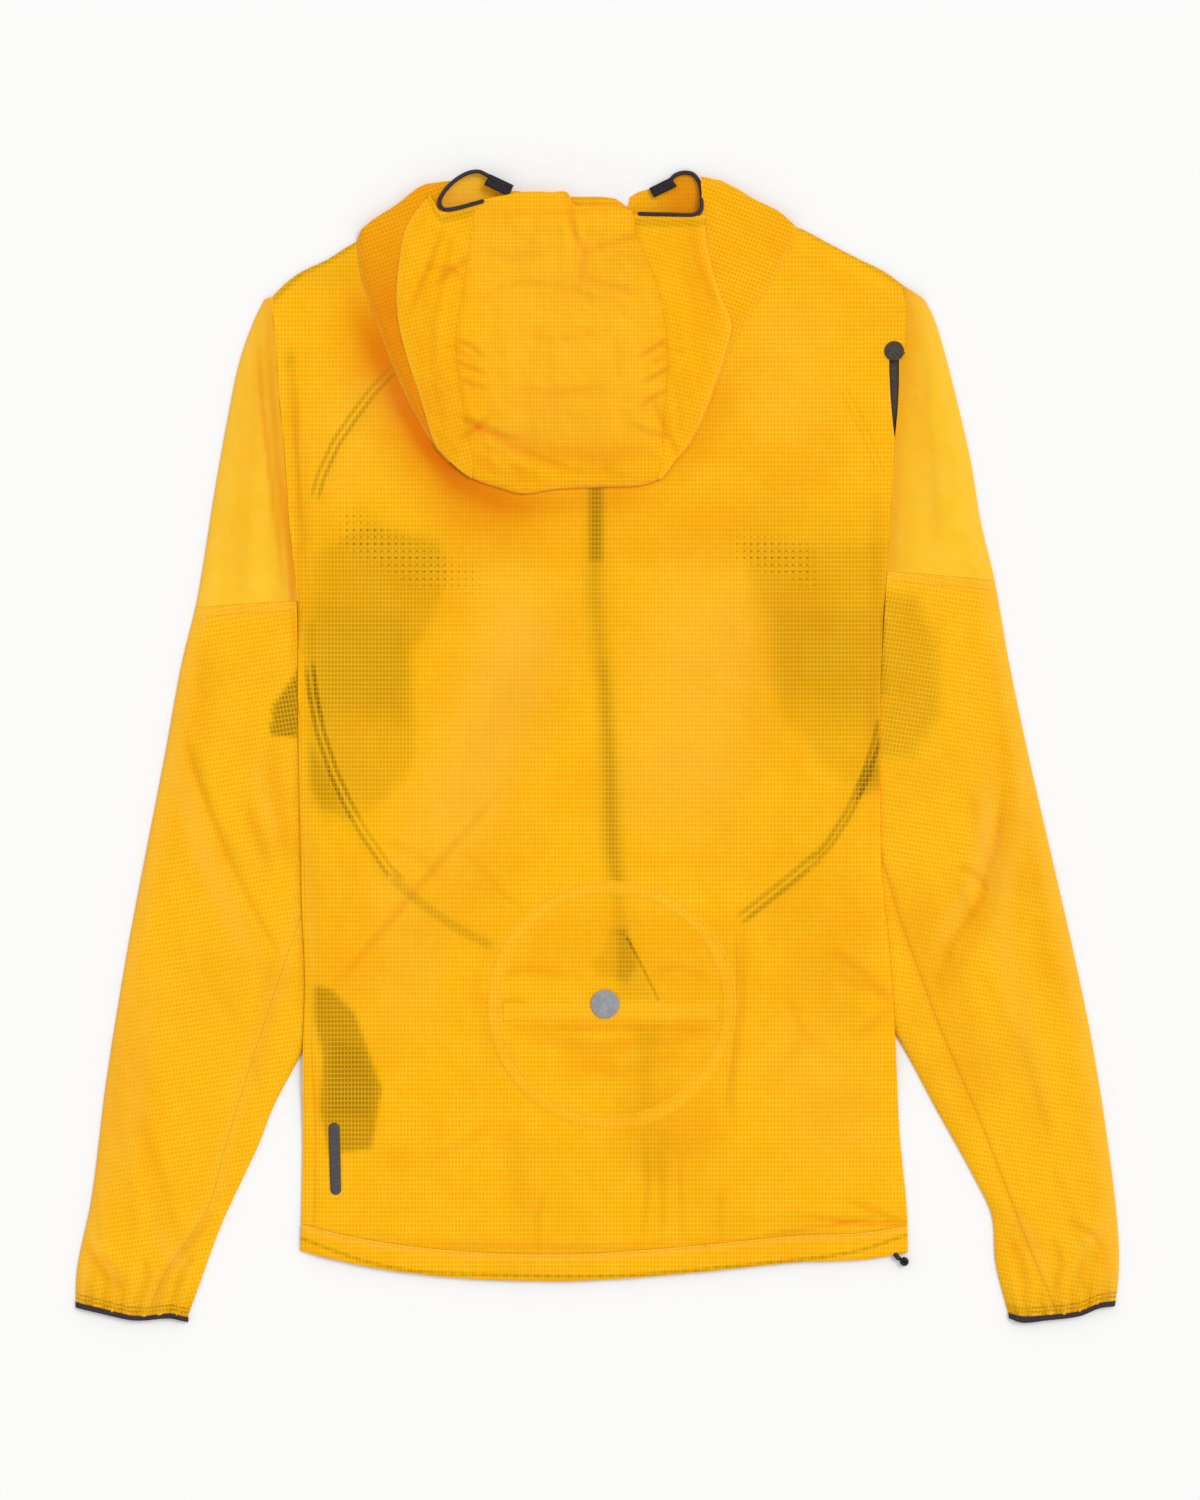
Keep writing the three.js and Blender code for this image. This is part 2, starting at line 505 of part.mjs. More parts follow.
// Height of a panel's own faces over a point
function surfaceHeight(grid) {
  const corner = new THREE.Triangle();
  const share = new THREE.Vector3();
  const flat = p => new THREE.Vector3(p.x, p.y, 0);
  return (x, y) => {
    const target = new THREE.Vector3(x, y, 0);
    for (let i = 0; i < grid.length - 1; i++) {
      for (let j = 0; j < grid[0].length - 1; j++) {
        const [a, b] = [grid[i][j], grid[i][j + 1]];
        const [c, d] = [grid[i + 1][j + 1], grid[i + 1][j]];
        for (const face of [[a, b, c], [a, c, d]]) {
          corner.set(flat(face[0]), flat(face[1]), flat(face[2]));
          corner.getBarycoord(target, share);
          if (Math.min(share.x, share.y, share.z) > -1e-6) {
            return face[0].z * share.x + face[1].z * share.y + face[2].z * share.z;
          }
        }
      }
    }
    return backUnder(x, y) + wall;
  };
}

// Back panel, with the right armhole edge cut back along the vent slit
const slitHalf = (ventSlit.top - ventSlit.bottom) / 2;
const slitMiddle = (ventSlit.top + ventSlit.bottom) / 2;
const slitOpen = y => ventSlit.width * Math.sqrt(clamp01(1 - ((y - slitMiddle) / slitHalf) ** 2));
const backLeftEdge = y => bodyLeft(y) + (turnReach(y) + curvedSeamGap) * smooth((34 - y) / 22);
const backRightEdge = y => bodyRight(y) - slitOpen(y);
const backPanel = sheet({
  from: backLeftEdge, to: backRightEdge, bottom: hemSeam, top: shoulder,
  across: closerAtBoth(18), rows: 26,
}, backUnder);
add('back_panel', backPanel.geometry, bodyOrange);
const backTop = surfaceHeight(backPanel.top);

const hemEdge = x => hemSeam(x) - seamGap;
const hemOver = (x, y) => backUnder(x, y) + seamGap;
add('hem_back', sheet({
  from: bodyLeft, to: bodyRight, bottom: hem, top: hemEdge, across: closerAtBoth(18), rows: 1,
}, hemOver, hemWall).geometry, bodyOrange);

// Fronts, three cuts on each side of the zip
const frontEdge = side => y => zipLine(y) + side * zipHalf;
const shifted = (line, by) => x => line(x) + by;
const frontStations = closerAtStart(10);
const fronts = {};
for (const [name, side, edge] of [['left', -1, bodyLeft], ['right', 1, bodyRight]]) {
  const cut = (bottom, top, rows) => sheet({
    from: edge, to: frontEdge(side), bottom, top, across: frontStations, rows,
  }, bodyLift);
  const shoulderCut = cut(shifted(upperArc, curvedSeamGap), frontTop, 4);
  const chestCut = cut(shifted(lowerArc, curvedSeamGap), upperArc, 12);
  const lowerCut = cut(hemSeam, lowerArc, 10);
  fronts[name] = { shoulder: shoulderCut.top, chest: chestCut.top, lower: lowerCut.top };
  add(`front_shoulder_${name}`, shoulderCut.geometry, sleeveOrange);
  add(`front_chest_${name}`, chestCut.geometry, bodyOrange);
  add(`hem_front_${name}`, cut(hem, hemEdge, 1).geometry, bodyOrange);
  if (side > 0) {
    add(`front_lower_${name}`, lowerCut.geometry, bodyOrange);
  }
}
add('front_lower_left', foldedWall({
  seamAbove: y => bodyLeft(y) + turnReach(y),
  seamBelow: frontEdge(-1),
  fold: bodyLeft,
  startLine: lowerArc,
  endLine: hemSeam,
  stations: frontStations.map(t => 1 - t).reverse(),
  stationsAbove: [0, 0.6, 1],
  rows: 10,
  base: bodyLift,
  middle: (x, y) => bodyLift(x, y) + wall + sideHollow / 2,
  crest: (x, y) => backUnder(x, y) + wall,
  radius: 1.6,
  place: upright,
}), bodyOrange);

// Zip: tapes on the inside of both fronts, coil between them, slider part way down
const slider = { y: -105, length: 10, width: 5, pull: 26, pullWidth: 2.4 };
const tapeUnder = wall + seamGap;
const coilUnder = 0.2;
const coilWall = 0.8;
const zipEnds = { low: -346, high: 316 };
for (const [name, side] of [['left', -1], ['right', 1]]) {
  const strip = (near, far, bottom, top, under, thick, rows) => sheet({
    from: y => zipLine(y) + side * near, to: y => zipLine(y) + side * far,
    bottom: () => bottom, top: () => top, across: even(1), rows,
  }, () => under, thick).geometry;
  const sliderTop = slider.y + slider.length / 2 + seamGap;
  add(`zip_tape_${name}`, strip(seamGap, tapeReach, zipEnds.low, zipEnds.high, tapeUnder, wall, 20),
    sleeveOrange);
  add(`zip_coil_upper_${name}`, strip(0.2, coilHalf, sliderTop, zipEnds.high, coilUnder, coilWall, 14),
    insideOrange);
}
add('zip_coil_lower', sheet({
  from: y => zipLine(y) - coilHalf, to: y => zipLine(y) + coilHalf,
  bottom: () => zipEnds.low, top: () => slider.y - slider.pull - seamGap, across: even(1), rows: 10,
}, () => coilUnder, coilWall).geometry, insideOrange);
const halfWidthAt = y => (
  Math.abs(y - slider.y) < slider.length / 2 ? slider.width : slider.pullWidth) / 2;
add('zip_slider', sheet({
  from: y => zipLine(y) - halfWidthAt(y), to: y => zipLine(y) + halfWidthAt(y),
  bottom: () => slider.y - slider.pull, top: () => slider.y + slider.length / 2,
  across: even(1), rows: 12,
}, () => 0.1, 0.9).geometry, tabBlack, 0.4);

// Collar fronts, flat below the mouth of the hood
const neckPoints = grid => grid[0].filter(p => Math.abs(p.x) < neckReach + 15)
  .map(p => ({ x: p.x, y: p.y + 2 * seamGap }));
add('collar_left', plate([...neckPoints(fronts.left.shoulder), ...collarLeftTop], 0, wall), insideOrange);
add('collar_right', plate([
  ...neckPoints(fronts.right.shoulder).reverse(), ...collarRightTop,
], 0, wall), insideOrange);

// Inner pocket bags and vent meshes
const between = (rows, underside) => {
  const ends = rows.map(row => row.y);
  return sheet({
    from: curve(rows, 'y', 'left'), to: curve(rows, 'y', 'right'),
    bottom: () => Math.min(...ends), top: () => Math.max(...ends), across: even(4), rows: 8,
  }, underside).geometry;
};
const insideHollow = () => wall + seamGap + 0.2;
const onPanel = (grid, block) => {
  const part = grid.slice(block.rowFrom, block.rowTo + 1).map(row => (
    row.slice(block.columnFrom, block.columnTo + 1)));
  const lift = extra => part.map(row => row.map(p => new THREE.Vector3(p.x, p.y, p.z + extra)));
  return closeGrids(lift(seamGap + wall), lift(seamGap), false);
};
add('mesh_pocket_left', onPanel(fronts.left.chest, pocketBlocks.meshLeft), darkMesh);
add('mesh_pocket_right', onPanel(fronts.right.chest, pocketBlocks.meshRight), darkMesh);
add('hand_pocket_left', onPanel(fronts.left.lower, pocketBlocks.handLeft), darkMesh);
add('vent_mesh_left', between(ventMeshLeft, insideHollow), darkMesh);
add('vent_mesh_right', between(ventMeshRight, insideHollow), darkMesh);

// Pieces on the back: pocket ring and lip, dots, label
const disc = (spot, under, thick) => new THREE.LatheGeometry([
  new THREE.Vector2(0, 0), new THREE.Vector2(spot.radius, 0),
  new THREE.Vector2(spot.radius, thick * 0.6), new THREE.Vector2(spot.radius - 0.6, thick),
  new THREE.Vector2(0, thick),
], 24).rotateX(Math.PI / 2).translate(spot.x, spot.y, under);
function ringOnBack({ x, y, outer, inner }) {
  const level = (radius, extra) => even(44).slice(0, -1).map(t => {
    const px = x + radius * Math.cos(2 * Math.PI * t);
    const py = y + radius * Math.sin(2 * Math.PI * t);
    return new THREE.Vector3(px, py, backTop(px, py) + restGap + extra);
  });
  const upper = [level(outer, wall), level(inner, wall)];
  return closeGrids(upper, [level(outer, 0), level(inner, 0)], true);
}
add('pocket_ring', ringOnBack(pocketTape), bodyOrange);
const lipUnder = (x, y) => backTop(x, y) + restGap;
add('pocket_lip', sheet({
  from: () => pocketTape.x - pocketLip.reach, to: () => pocketTape.x + pocketLip.reach,
  bottom: () => pocketTape.y + pocketLip.below, top: () => pocketTape.y + pocketLip.above,
  across: even(14), rows: 1,
}, lipUnder).geometry, bodyOrange);
const aboveDisc = spot => Math.max(...even(12).map(t => backTop(
  spot.x + spot.radius * Math.cos(2 * Math.PI * t), spot.y + spot.radius * Math.sin(2 * Math.PI * t))));
add('silver_dot', disc(dot, aboveDisc(dot) + wall + 2 * restGap, wall), silver, 0.35);
add('vent_dot_right', disc(ventDot, aboveDisc(ventDot) + restGap, wall), darkMesh);
add('vent_dot_left', disc(ventDotLeft, insideHollow(), wall), darkMesh);
const labelHeight = Math.max(...even(6).map(t => (
  backTop(label.x, label.y + label.length * (t - 0.5))))) + restGap;
const labelShape = new THREE.Shape();
const labelRun = label.length / 2 - label.width / 2;
labelShape.absarc(0, labelRun, label.width / 2, 0, Math.PI);
labelShape.absarc(0, -labelRun, label.width / 2, Math.PI, 2 * Math.PI);
add('label_tab', new THREE.ExtrudeGeometry(labelShape, {
  depth: wall, bevelEnabled: false, curveSegments: 8,
}).rotateZ(THREE.MathUtils.degToRad(label.tilt)).translate(label.x, label.y, labelHeight), labelGrey);

// Toggle on the hem's drawcord: a ball with a short neck
const ball = new THREE.LatheGeometry(even(8).map(t => {
  const angle = Math.PI * (t - 0.5);
  return new THREE.Vector2(Math.max(0, toggle.radius * Math.cos(angle)), toggle.radius * Math.sin(angle));
}), 12).rotateX(Math.PI / 2).translate(toggle.x, toggle.y, toggle.radius + 0.05);
add('hem_toggle', ball, tabBlack, 0.35);
add('toggle_cord', cordAlong([
  { x: 197.4, y: -337.1, z: 2.3 }, { x: 198.1, y: -338.3, z: 2.5 }, { x: 199.1, y: -339.1, z: 2.7 },
], toggle.neck, 4), tabBlack, 0.5);

// Sleeves
function buildSleeve(name, sleeve, folds) {
  const { side } = sleeve;
  const outer = curve(sleeve.outer);
  const inner = curve(sleeve.inner);
  const body = curve(sleeve.body);
  const seam = curve(sleeve.underSeam);
  const headLine = curve(sleeve.head, 'x', 'y');
  const yokeLine = curve(sleeve.yokeSeam, 'x', 'y');
  const cuffLine = curve(sleeve.cuff, 'x', 'y');
  const cuffEnd = curve(sleeve.cuffEnd, 'x', 'y');
  const shoulderEnd = sleeve.outer[0].y;
  const gathers = (x, y) => {
    const run = clamp01(1 - (y - cuffLine(x)) / cuffGathers.length);
    const share = (x - outer(y)) / (inner(y) - outer(y));
    return cuffGathers.height * run * Math.sin(2 * Math.PI * cuffGathers.count * share);
  };
  const crest = (x, y) => {
    const outside = (x - body(y)) * side;
    const belowArm = smooth((underarm - y) / sleeveRuns.cover);
    const atCover = mix(wall + bodyHollow + wall, sleeveEdgeCrest, belowArm);
    const atTop = smooth((shoulderEnd - y) / sleeveRuns.head);
    const ridge = sleeveCrest - headDrop * (1 - atTop);
    const shape = mix(atCover, ridge, smooth(outside / sleeveRuns.side));
    const folded = foldHeight(folds, x, y) * smooth(outside / sleeveRuns.folds) * atTop;
    const flatter = cuffDrop * clamp01(1 - (y - cuffLine(x)) / sleeveRuns.cuff);
    return shape + folded + gathers(x, y) - flatter;
  };
  const common = {
    base: () => 0, middle: () => sleeveMiddle, crest, radius: foldRadius, place: upright,
  };
  const armhole = y => body(y) + side * curvedSeamGap;
  const towardsFold = n => closerAtEnd(n, 1.7);
  add(`sleeve_yoke_${name}`, foldedWall({
    ...common, seamAbove: armhole, seamBelow: armhole, fold: outer,
    startLine: headLine, endLine: x => yokeLine(x) + seamGap,
    stations: towardsFold(6), rows: 8,
  }), sleeveOrange);
  const sleeveRows = 18;
  const wedgeRow = 3;
  const atBody = y => smooth((y - 26) / 14);
  const mainSeam = y => mix(seam(y), body(y) + side * curvedSeamGap, atBody(y)) + side * seamGap;
  add(`sleeve_main_${name}`, foldedWall({
    ...common, seamAbove: mainSeam, seamBelow: mainSeam,
    fold: outer, startLine: yokeLine, endLine: cuffLine, stations: towardsFold(7), rows: sleeveRows,
  }), sleeveOrange);
  const seamStart = meet(yokeLine, mainSeam, outer, 0);
  const seamEnd = meet(cuffLine, mainSeam, outer, 0);
  add(`sleeve_under_${name}`, foldedWall({
    ...common, seamAbove: seam, seamBelow: seam, fold: inner,
    startLine: () => mix(seamStart, seamEnd, wedgeRow / sleeveRows), endLine: cuffLine,
    stations: towardsFold(4), rows: sleeveRows - wedgeRow,
  }), sleeveOrange);
  const cuffMiddle = sleeve.cuff[0].y;
  const around = (inset, isUpper) => [false, true].map(isEnd => {
    const stations = even(12).map(t => (1 - Math.cos(Math.PI * t)) / 2);
    return stations.map(f => {
      const guess = mix(outer(cuffMiddle), inner(cuffMiddle), f);
      const y = isEnd ? cuffEnd(guess) : cuffLine(guess) - curvedSeamGap;
      const from = outer(y) - side * inset;
      const to = inner(y) + side * inset;
      const x = mix(from, to, f);
      const round = roundEdge(Math.min(Math.abs(x - from), Math.abs(x - to)) / foldRadius);
      const reach = isUpper ? cuffCrest - inset : inset;
      return new THREE.Vector3(x, y, mix(sleeveMiddle, reach, round));
    });
  });
  const ring = inset => {
    const upper = around(inset, true);
    const lower = around(inset, false);
    return upper.map((row, i) => [...row, ...lower[i].slice(1, -1).reverse()]);
  };
  add(`cuff_binding_${name}`, closeGrids(ring(0), ring(wall), true), bindingPlum);
}
buildSleeve('left', leftSleeve, leftSleeveFolds);
buildSleeve('right', rightSleeve, rightSleeveFolds);

// Hood: wings that lie on the back, then sides and centre strip on top
const stripLeft = curve(stripLeftRows);
const stripRight = curve(stripRightRows);
const hoodTop = (x, y) => hoodCrest + foldHeight(hoodFolds, x, y);
const wingTop = hoodUnder + hoodLayer;
const wingGap = 1.2;
const pointsDown = (line, from, to, n) => even(n).map(t => {
  const y = mix(from, to, t);
  return { x: line(y), y };
});
const wingLeft = curve(hoodLeftRows);
const wingRight = curve(hoodRightRows);
const wingEnds = { low: 187, high: 338 };
add('hood_wing_left', plate([
  ...wingLeftTop,
  ...pointsDown(wingLeft, wingEnds.high - 4, wingEnds.low, 10),
  ...pointsDown(y => stripLeft(y) - wingGap, wingEnds.low, wingEnds.high, 10),
], hoodUnder, hoodLayer), hoodOrange);
add('hood_wing_right', plate([
  ...wingRightTop,
  ...pointsDown(y => stripRight(y) + wingGap, wingEnds.high, wingEnds.low + 3, 10),
  ...pointsDown(wingRight, wingEnds.low + 3, wingEnds.high, 10),
], hoodUnder, hoodLayer), hoodOrange);

const sideBase = () => wingTop + seamGap;
const sideMiddle = () => wingTop + 1.7;
for (const [name, side, crease, strip, mouth] of [
  ['left', -1, creaseLeftRows, stripLeft, mouthLeftRows],
  ['right', 1, creaseRightRows, stripRight, mouthRightRows],
]) {
  const fold = curve(crease);
  add(`hood_side_${name}`, foldedWall({
    seamAbove: y => strip(y) + side * curvedSeamGap,
    seamBelow: y => mix(fold(y), strip(y), 0.4),
    fold,
    startLine: curve(mouth, 'x', 'y'),
    endLine: () => (side < 0 ? 180 : 184),
    stations: closerAtEnd(5, 1.5),
    rows: 10, base: sideBase, middle: sideMiddle, crest: hoodTop, radius: hoodRadius, place: upright,
  }), hoodOrange);
}
const brim = curve(brimRows, 'x', 'y');
const hoodNeck = 300;
add('hood_centre', foldedWall({
  seamAbove: brim,
  seamBelow: () => hoodNeck,
  fold: curve(crownRows, 'x', 'y'),
  startLine: stripLeft,
  endLine: stripRight,
  stations: closerAtEnd(11, 1.3),
  rows: 8,
  base: () => hoodUnder,
  middle: () => (hoodUnder + hoodCrest) / 2,
  crest: hoodTop,
  radius: hoodRadius,
  place: sideways,
}), hoodOrange);

// Elastic binding round the mouth, and the tabs at its ends
add('hood_binding_left', cordAlong(bindingLeftPath, bindingRadius, 20), bindingPlum);
add('hood_binding_right', cordAlong(bindingRightPath, bindingRadius, 20), bindingPlum);
add('hood_tab_left', plate(tabLeft, wall + restGap, wall), tabBlack);
add('hood_tab_right', plate(tabRight, wall + restGap, wall), tabBlack);

export default windbreaker;
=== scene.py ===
import math
import bpy
import numpy as np
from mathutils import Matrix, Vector
from mathutils.geometry import delaunay_2d_cdt


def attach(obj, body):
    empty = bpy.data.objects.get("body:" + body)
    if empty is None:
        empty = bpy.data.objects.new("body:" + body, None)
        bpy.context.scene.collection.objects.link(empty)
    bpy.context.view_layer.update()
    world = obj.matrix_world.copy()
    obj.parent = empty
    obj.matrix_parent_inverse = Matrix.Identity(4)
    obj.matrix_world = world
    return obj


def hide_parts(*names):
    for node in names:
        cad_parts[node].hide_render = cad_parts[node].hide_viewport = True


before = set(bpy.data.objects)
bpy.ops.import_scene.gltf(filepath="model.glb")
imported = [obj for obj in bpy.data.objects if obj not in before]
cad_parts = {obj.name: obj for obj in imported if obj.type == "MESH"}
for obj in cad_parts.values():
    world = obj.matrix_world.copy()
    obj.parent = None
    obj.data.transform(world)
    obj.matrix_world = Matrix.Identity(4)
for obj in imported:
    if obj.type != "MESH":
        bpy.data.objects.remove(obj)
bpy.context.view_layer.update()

mm = 0.001


# Camera, straight above
cameraSetup = {
    "lens": 100.0,  # mm, on a sensor 36 mm long
    "height": 2754.0,
    "x": 1.3,
    "y": -2.6,
}
cameraData = bpy.data.cameras.new("camera")
cameraData.lens = cameraSetup["lens"]
cameraData.sensor_width = 36.0
cameraData.clip_start = 0.05
cameraData.clip_end = 50.0
camera = bpy.data.objects.new("camera", cameraData)
camera.location = (cameraSetup["x"] * mm, cameraSetup["y"] * mm, cameraSetup["height"] * mm)
bpy.context.scene.collection.objects.link(camera)
bpy.context.scene.camera = camera
bpy.context.scene.view_settings.view_transform = "Standard"
bpy.context.scene.view_settings.look = "None"


# Maths
def clamp01(t):
    return np.clip(t, 0.0, 1.0)


def mix(a, b, t):
    return a + (b - a) * t


def smooth(t):
    t = clamp01(t)
    return t * t * (3 - 2 * t)


def roundEdge(t):
    return np.sqrt(1 - (1 - clamp01(t)) ** 2)


def curve(rows):
    # a smooth curve through rows of (where, value)
    rows = sorted(rows)
    keys = np.array([row[0] for row in rows], float)
    values = np.array([row[1] for row in rows], float)
    index = np.arange(len(keys))
    before = np.maximum(index - 1, 0)
    after = np.minimum(index + 1, len(keys) - 1)
    slopes = (values[after] - values[before]) / (keys[after] - keys[before])

    def read(at):
        at = np.clip(np.asarray(at, float), keys[0], keys[-1])
        i = np.clip(np.searchsorted(keys, at, side="right") - 1, 0, len(keys) - 2)
        span = keys[i + 1] - keys[i]
        t = (at - keys[i]) / span
        straight = mix(values[i], values[i + 1], smooth(t))
        return straight + t * (1 - t) * span * (slopes[i] * (1 - t) - slopes[i + 1] * t)

    return read


def foldHeight(folds, x, y):
    # each fold is (x, y, toX, toY, width, height)
    total = np.zeros(np.broadcast(x, y).shape)
    for fromX, fromY, toX, toY, width, height in folds:
        alongX, alongY = toX - fromX, toY - fromY
        length = math.hypot(alongX, alongY)
        t = ((x - fromX) * alongX + (y - fromY) * alongY) / length ** 2
        away = np.abs((x - fromX) * alongY - (y - fromY) * alongX) / length
        ends = smooth((t + 0.1) / 0.35) * smooth((1.1 - t) / 0.35)
        total += height * ends * np.exp(-((away / (0.6 * width)) ** 2))
    return total


def ripple(x, y, size, seed):
    # soft uneven waves, about -1 to 1
    total = 0
    for k in range(5):
        angle = seed * 1.7 + k * 2.4
        wave = 2 * math.pi / size * (0.7 + 0.15 * ((k * 7 + seed * 3) % 5))
        across = x * math.cos(angle) + y * math.sin(angle)
        along = y * math.cos(angle) - x * math.sin(angle)
        total = total + np.sin(across * wave + seed * k * 1.3 + 1.3 * np.sin(along * wave * 0.63 + k))
    return total * 0.36


def lineDistance(x, y, points):
    # signed distance to a line through points, and how far along it the nearest spot lies
    best = np.full(np.shape(x), 1e9)
    signed = np.full(np.shape(x), 1e9)
    along = np.zeros(np.shape(x))
    done = 0.0
    for (ax, ay), (bx, by) in zip(points[:-1], points[1:]):
        dx, dy = bx - ax, by - ay
        length = math.hypot(dx, dy)
        t = clamp01(((x - ax) * dx + (y - ay) * dy) / length ** 2)
        away = np.hypot(x - ax - t * dx, y - ay - t * dy)
        side = np.where((x - ax) * dy - (y - ay) * dx >= 0, 1.0, -1.0)
        nearer = away < best
        best = np.where(nearer, away, best)
        signed = np.where(nearer, away * side, signed)
        along = np.where(nearer, done + t * length, along)
        done += length
    return signed, along / done


def softLine(x, y, points, width, soft):
    signed, along = lineDistance(x, y, points)
    ends = smooth(along / 0.32) * smooth((1 - along) / 0.32)
    away = np.maximum(0, np.abs(signed) - width / 2)
    return np.exp(-((away / (0.55 * soft)) ** 2)) * ends


def softPolygon(x, y, points, soft):
    signed, along = lineDistance(x, y, points + points[:1])
    inside = np.zeros(np.shape(x), bool)
    for (ax, ay), (bx, by) in zip(points, points[1:] + points[:1]):
        crosses = (ay > y) != (by > y)
        reach = ax + (y - ay) * (bx - ax) / ((by - ay) or 1e-9)
        inside ^= crosses & (x < reach)
    away = np.where(inside, np.abs(signed), -np.abs(signed))
    return smooth(away / soft + 0.5)


def meet(line, fromEdge, toEdge, f):
    y = line((fromEdge(0.0) + toEdge(0.0)) / 2) + 0 * f
    for step in range(12):
        y = mix(y, line(mix(fromEdge(y), toEdge(y), f)), 0.7)
    return y


def closerAtEnd(count, power):
    return 1 - (1 - np.linspace(0, 1, count + 1)) ** power


# Outline of the body, rows of (y, x) for the sides and (x, y) for the rest
bodyOutline = {
    "left": [
        (296, -215.8), (264, -212.5), (227, -209.9), (192, -206.6), (149, -203.9), (96, -198.7),
        (30, -198), (-102, -195.4), (-152, -193.4), (-203, -194.7), (-286, -195.4), (-334, -196.7),
    ],
    "right": [
        (303, 203.3), (272, 203.3), (246, 201.3), (224, 198.7), (203, 196), (149, 192.7),
        (96, 189.4), (30, 186.1), (-36, 186.1), (-88, 187.4), (-136, 192.1), (-191, 196),
        (-257, 199.3), (-305, 203.9), (-335, 204.6),
    ],
    "hem": [
        (-196.7, -333.3), (-173, -339.2), (-139, -345.8), (-91, -351.1), (-45, -353.1),
        (1, -352.4), (67, -347.2), (133, -340.6), (172, -339.2), (204.6, -334.6),
    ],
    "shoulder": [
        (-215.8, 296), (-206.6, 305.6), (-195.4, 313.5), (-178.9, 321.4), (-159, 333.3),
        (-120, 346), (-80, 353), (-40, 344), (0, 341), (40, 345), (80, 354), (105, 350),
        (131, 343), (152.5, 332), (173, 321.4), (189, 313.5), (203.3, 303),
    ],
    "frontNeck": [
        (-80, 353), (-64, 338), (-40, 326), (0, 319), (40, 325), (64, 338), (80, 354),
    ],
    "zip": [
        (319, 14), (275, 9.2), (169, 1.3), (96, -0.7), (30, 0), (-9, 4.5), (-69, 9.5),
        (-95, 13), (-135, 21.5), (-168, 28), (-207, 31), (-286, 32), (-339, 34),
    ],
    "sideTurn": [(-334, 8.3), (-230, 7), (-180, 4.4), (-100, 2.2), (20, 1.6)],
}
bodyLeft = curve(bodyOutline["left"])
bodyRight = curve(bodyOutline["right"])
hem = curve(bodyOutline["hem"])
shoulder = curve(bodyOutline["shoulder"])
frontNeck = curve(bodyOutline["frontNeck"])
zipLine = curve(bodyOutline["zip"])
turnReach = curve(bodyOutline["sideTurn"])

cloth = {
    "wall": 1.0,
    "bodyHollow": 2.4,
    "sideHollow": 0.55,
    "underarm": 96.0,
    "neckReach": 80.0,
    "hemDepth": 18.0,
    "frontArc": (70.0, 208.0, 205.0, 226.0),  # middle y, half width, reach below and above
}

leftSleeve = {
    "side": -1,
    "body": bodyLeft,
    "outer": [
        (295, -220.5), (282, -227), (256, -236.3), (226, -242.9), (171, -252.8), (98, -264.7),
        (54, -275.2), (-7, -286.4), (-75, -299.6), (-138, -311.5), (-220, -324.7), (-298, -334.6),
        (-344, -344), (-367, -345.2), (-376, -345),
    ],
    "inner": [
        (96, -198), (34, -192), (14, -176), (-20, -163), (-75, -160), (-140, -168), (-180, -183),
        (-205, -196.7), (-237, -213.8), (-263, -224), (-315, -248.2), (-358, -264), (-376, -270.6),
    ],
    "underSeam": [
        (96, -199.2), (40, -198.8), (14, -187), (-20, -182), (-60, -184), (-105, -194),
        (-152, -209.9), (-224, -233.6), (-265, -246.2), (-306, -258.1), (-346, -284.5), (-372, -296.3),
    ],
    "yokeSeam": [(-270, 91), (-230, 94), (-190, 96)],
    "cuff": [
        (-345, -367.6), (-331, -370.9), (-309, -376.2), (-299.6, -376.7), (-283, -375), (-270.6, -377.8),
    ],
    "cuffEnd": [
        (-345, -370.4), (-331, -373.7), (-309, -378.6), (-299.6, -378.9), (-283, -377.6),
        (-270.6, -380.2),
    ],
    "slips": (98.0, 36.0, -206.0, -264.0),
    "folds": [
        (-273, 9, -237, -87, 11, 0.9), (-237, -87, -204, -158, 11, 0.9),
        (-228, 270, -236, 136, 9, 0.8), (-236, 136, -245, 38, 9, -0.7),
        (-230, -38, -219, -77, 8, 0.6), (-300, -190, -262, -290, 12, 0.7),
    ],
}
rightSleeve = {
    "side": 1,
    "body": bodyRight,
    "outer": [
        (295, 215.8), (282, 222.4), (248, 232.3), (189, 246.2), (149, 252.8), (110, 262),
        (54, 271.9), (-9, 285.1), (-75, 300.3), (-136, 314.2), (-197, 326.7), (-269, 337.9),
        (-324, 343.9), (-352, 343.9), (-376, 340.6),
    ],
    "inner": [
        (96, 188.6), (34, 181), (14, 167), (-20, 154), (-75, 151), (-130, 160), (-170, 180),
        (-191, 196.7), (-239, 223.1), (-287, 249.5), (-310, 260), (-342, 262.7), (-376, 271.3),
    ],
    "underSeam": [
        (96, 190), (40, 187.2), (14, 178), (-20, 173), (-50, 177), (-79, 188.8), (-114, 199.3),
        (-152, 213.2), (-186, 225.7), (-241, 249.5), (-293, 269.9), (-334, 285.8), (-372, 302.3),
    ],
    "yokeSeam": [(180, 116), (220, 113), (265, 109)],
    "cuff": [
        (271, -374.9), (280.5, -376.9), (295, -376.2), (318, -373.4), (330.7, -368), (341, -367),
    ],
    "cuffEnd": [
        (271, -377.6), (280.5, -380.4), (295, -379), (318, -376), (330.7, -370.8), (341, -369.6),
    ],
    "slips": (98.0, 36.0, -193.0, -250.0),
    "folds": [
        (262, -75, 234, -140, 10, 0.9), (240, -87, 250, -112, 8, 0.7),
        (232, 240, 240, 120, 10, 0.8), (256, 90, 268, -40, 10, -0.7),
        (282, -150, 304, -270, 12, 0.8), (262, -300, 288, -336, 8, 0.6),
    ],
}
for sleeve in (leftSleeve, rightSleeve):
    for line in ("outer", "inner", "underSeam", "yokeSeam", "cuff", "cuffEnd"):
        sleeve[line] = curve(sleeve[line])


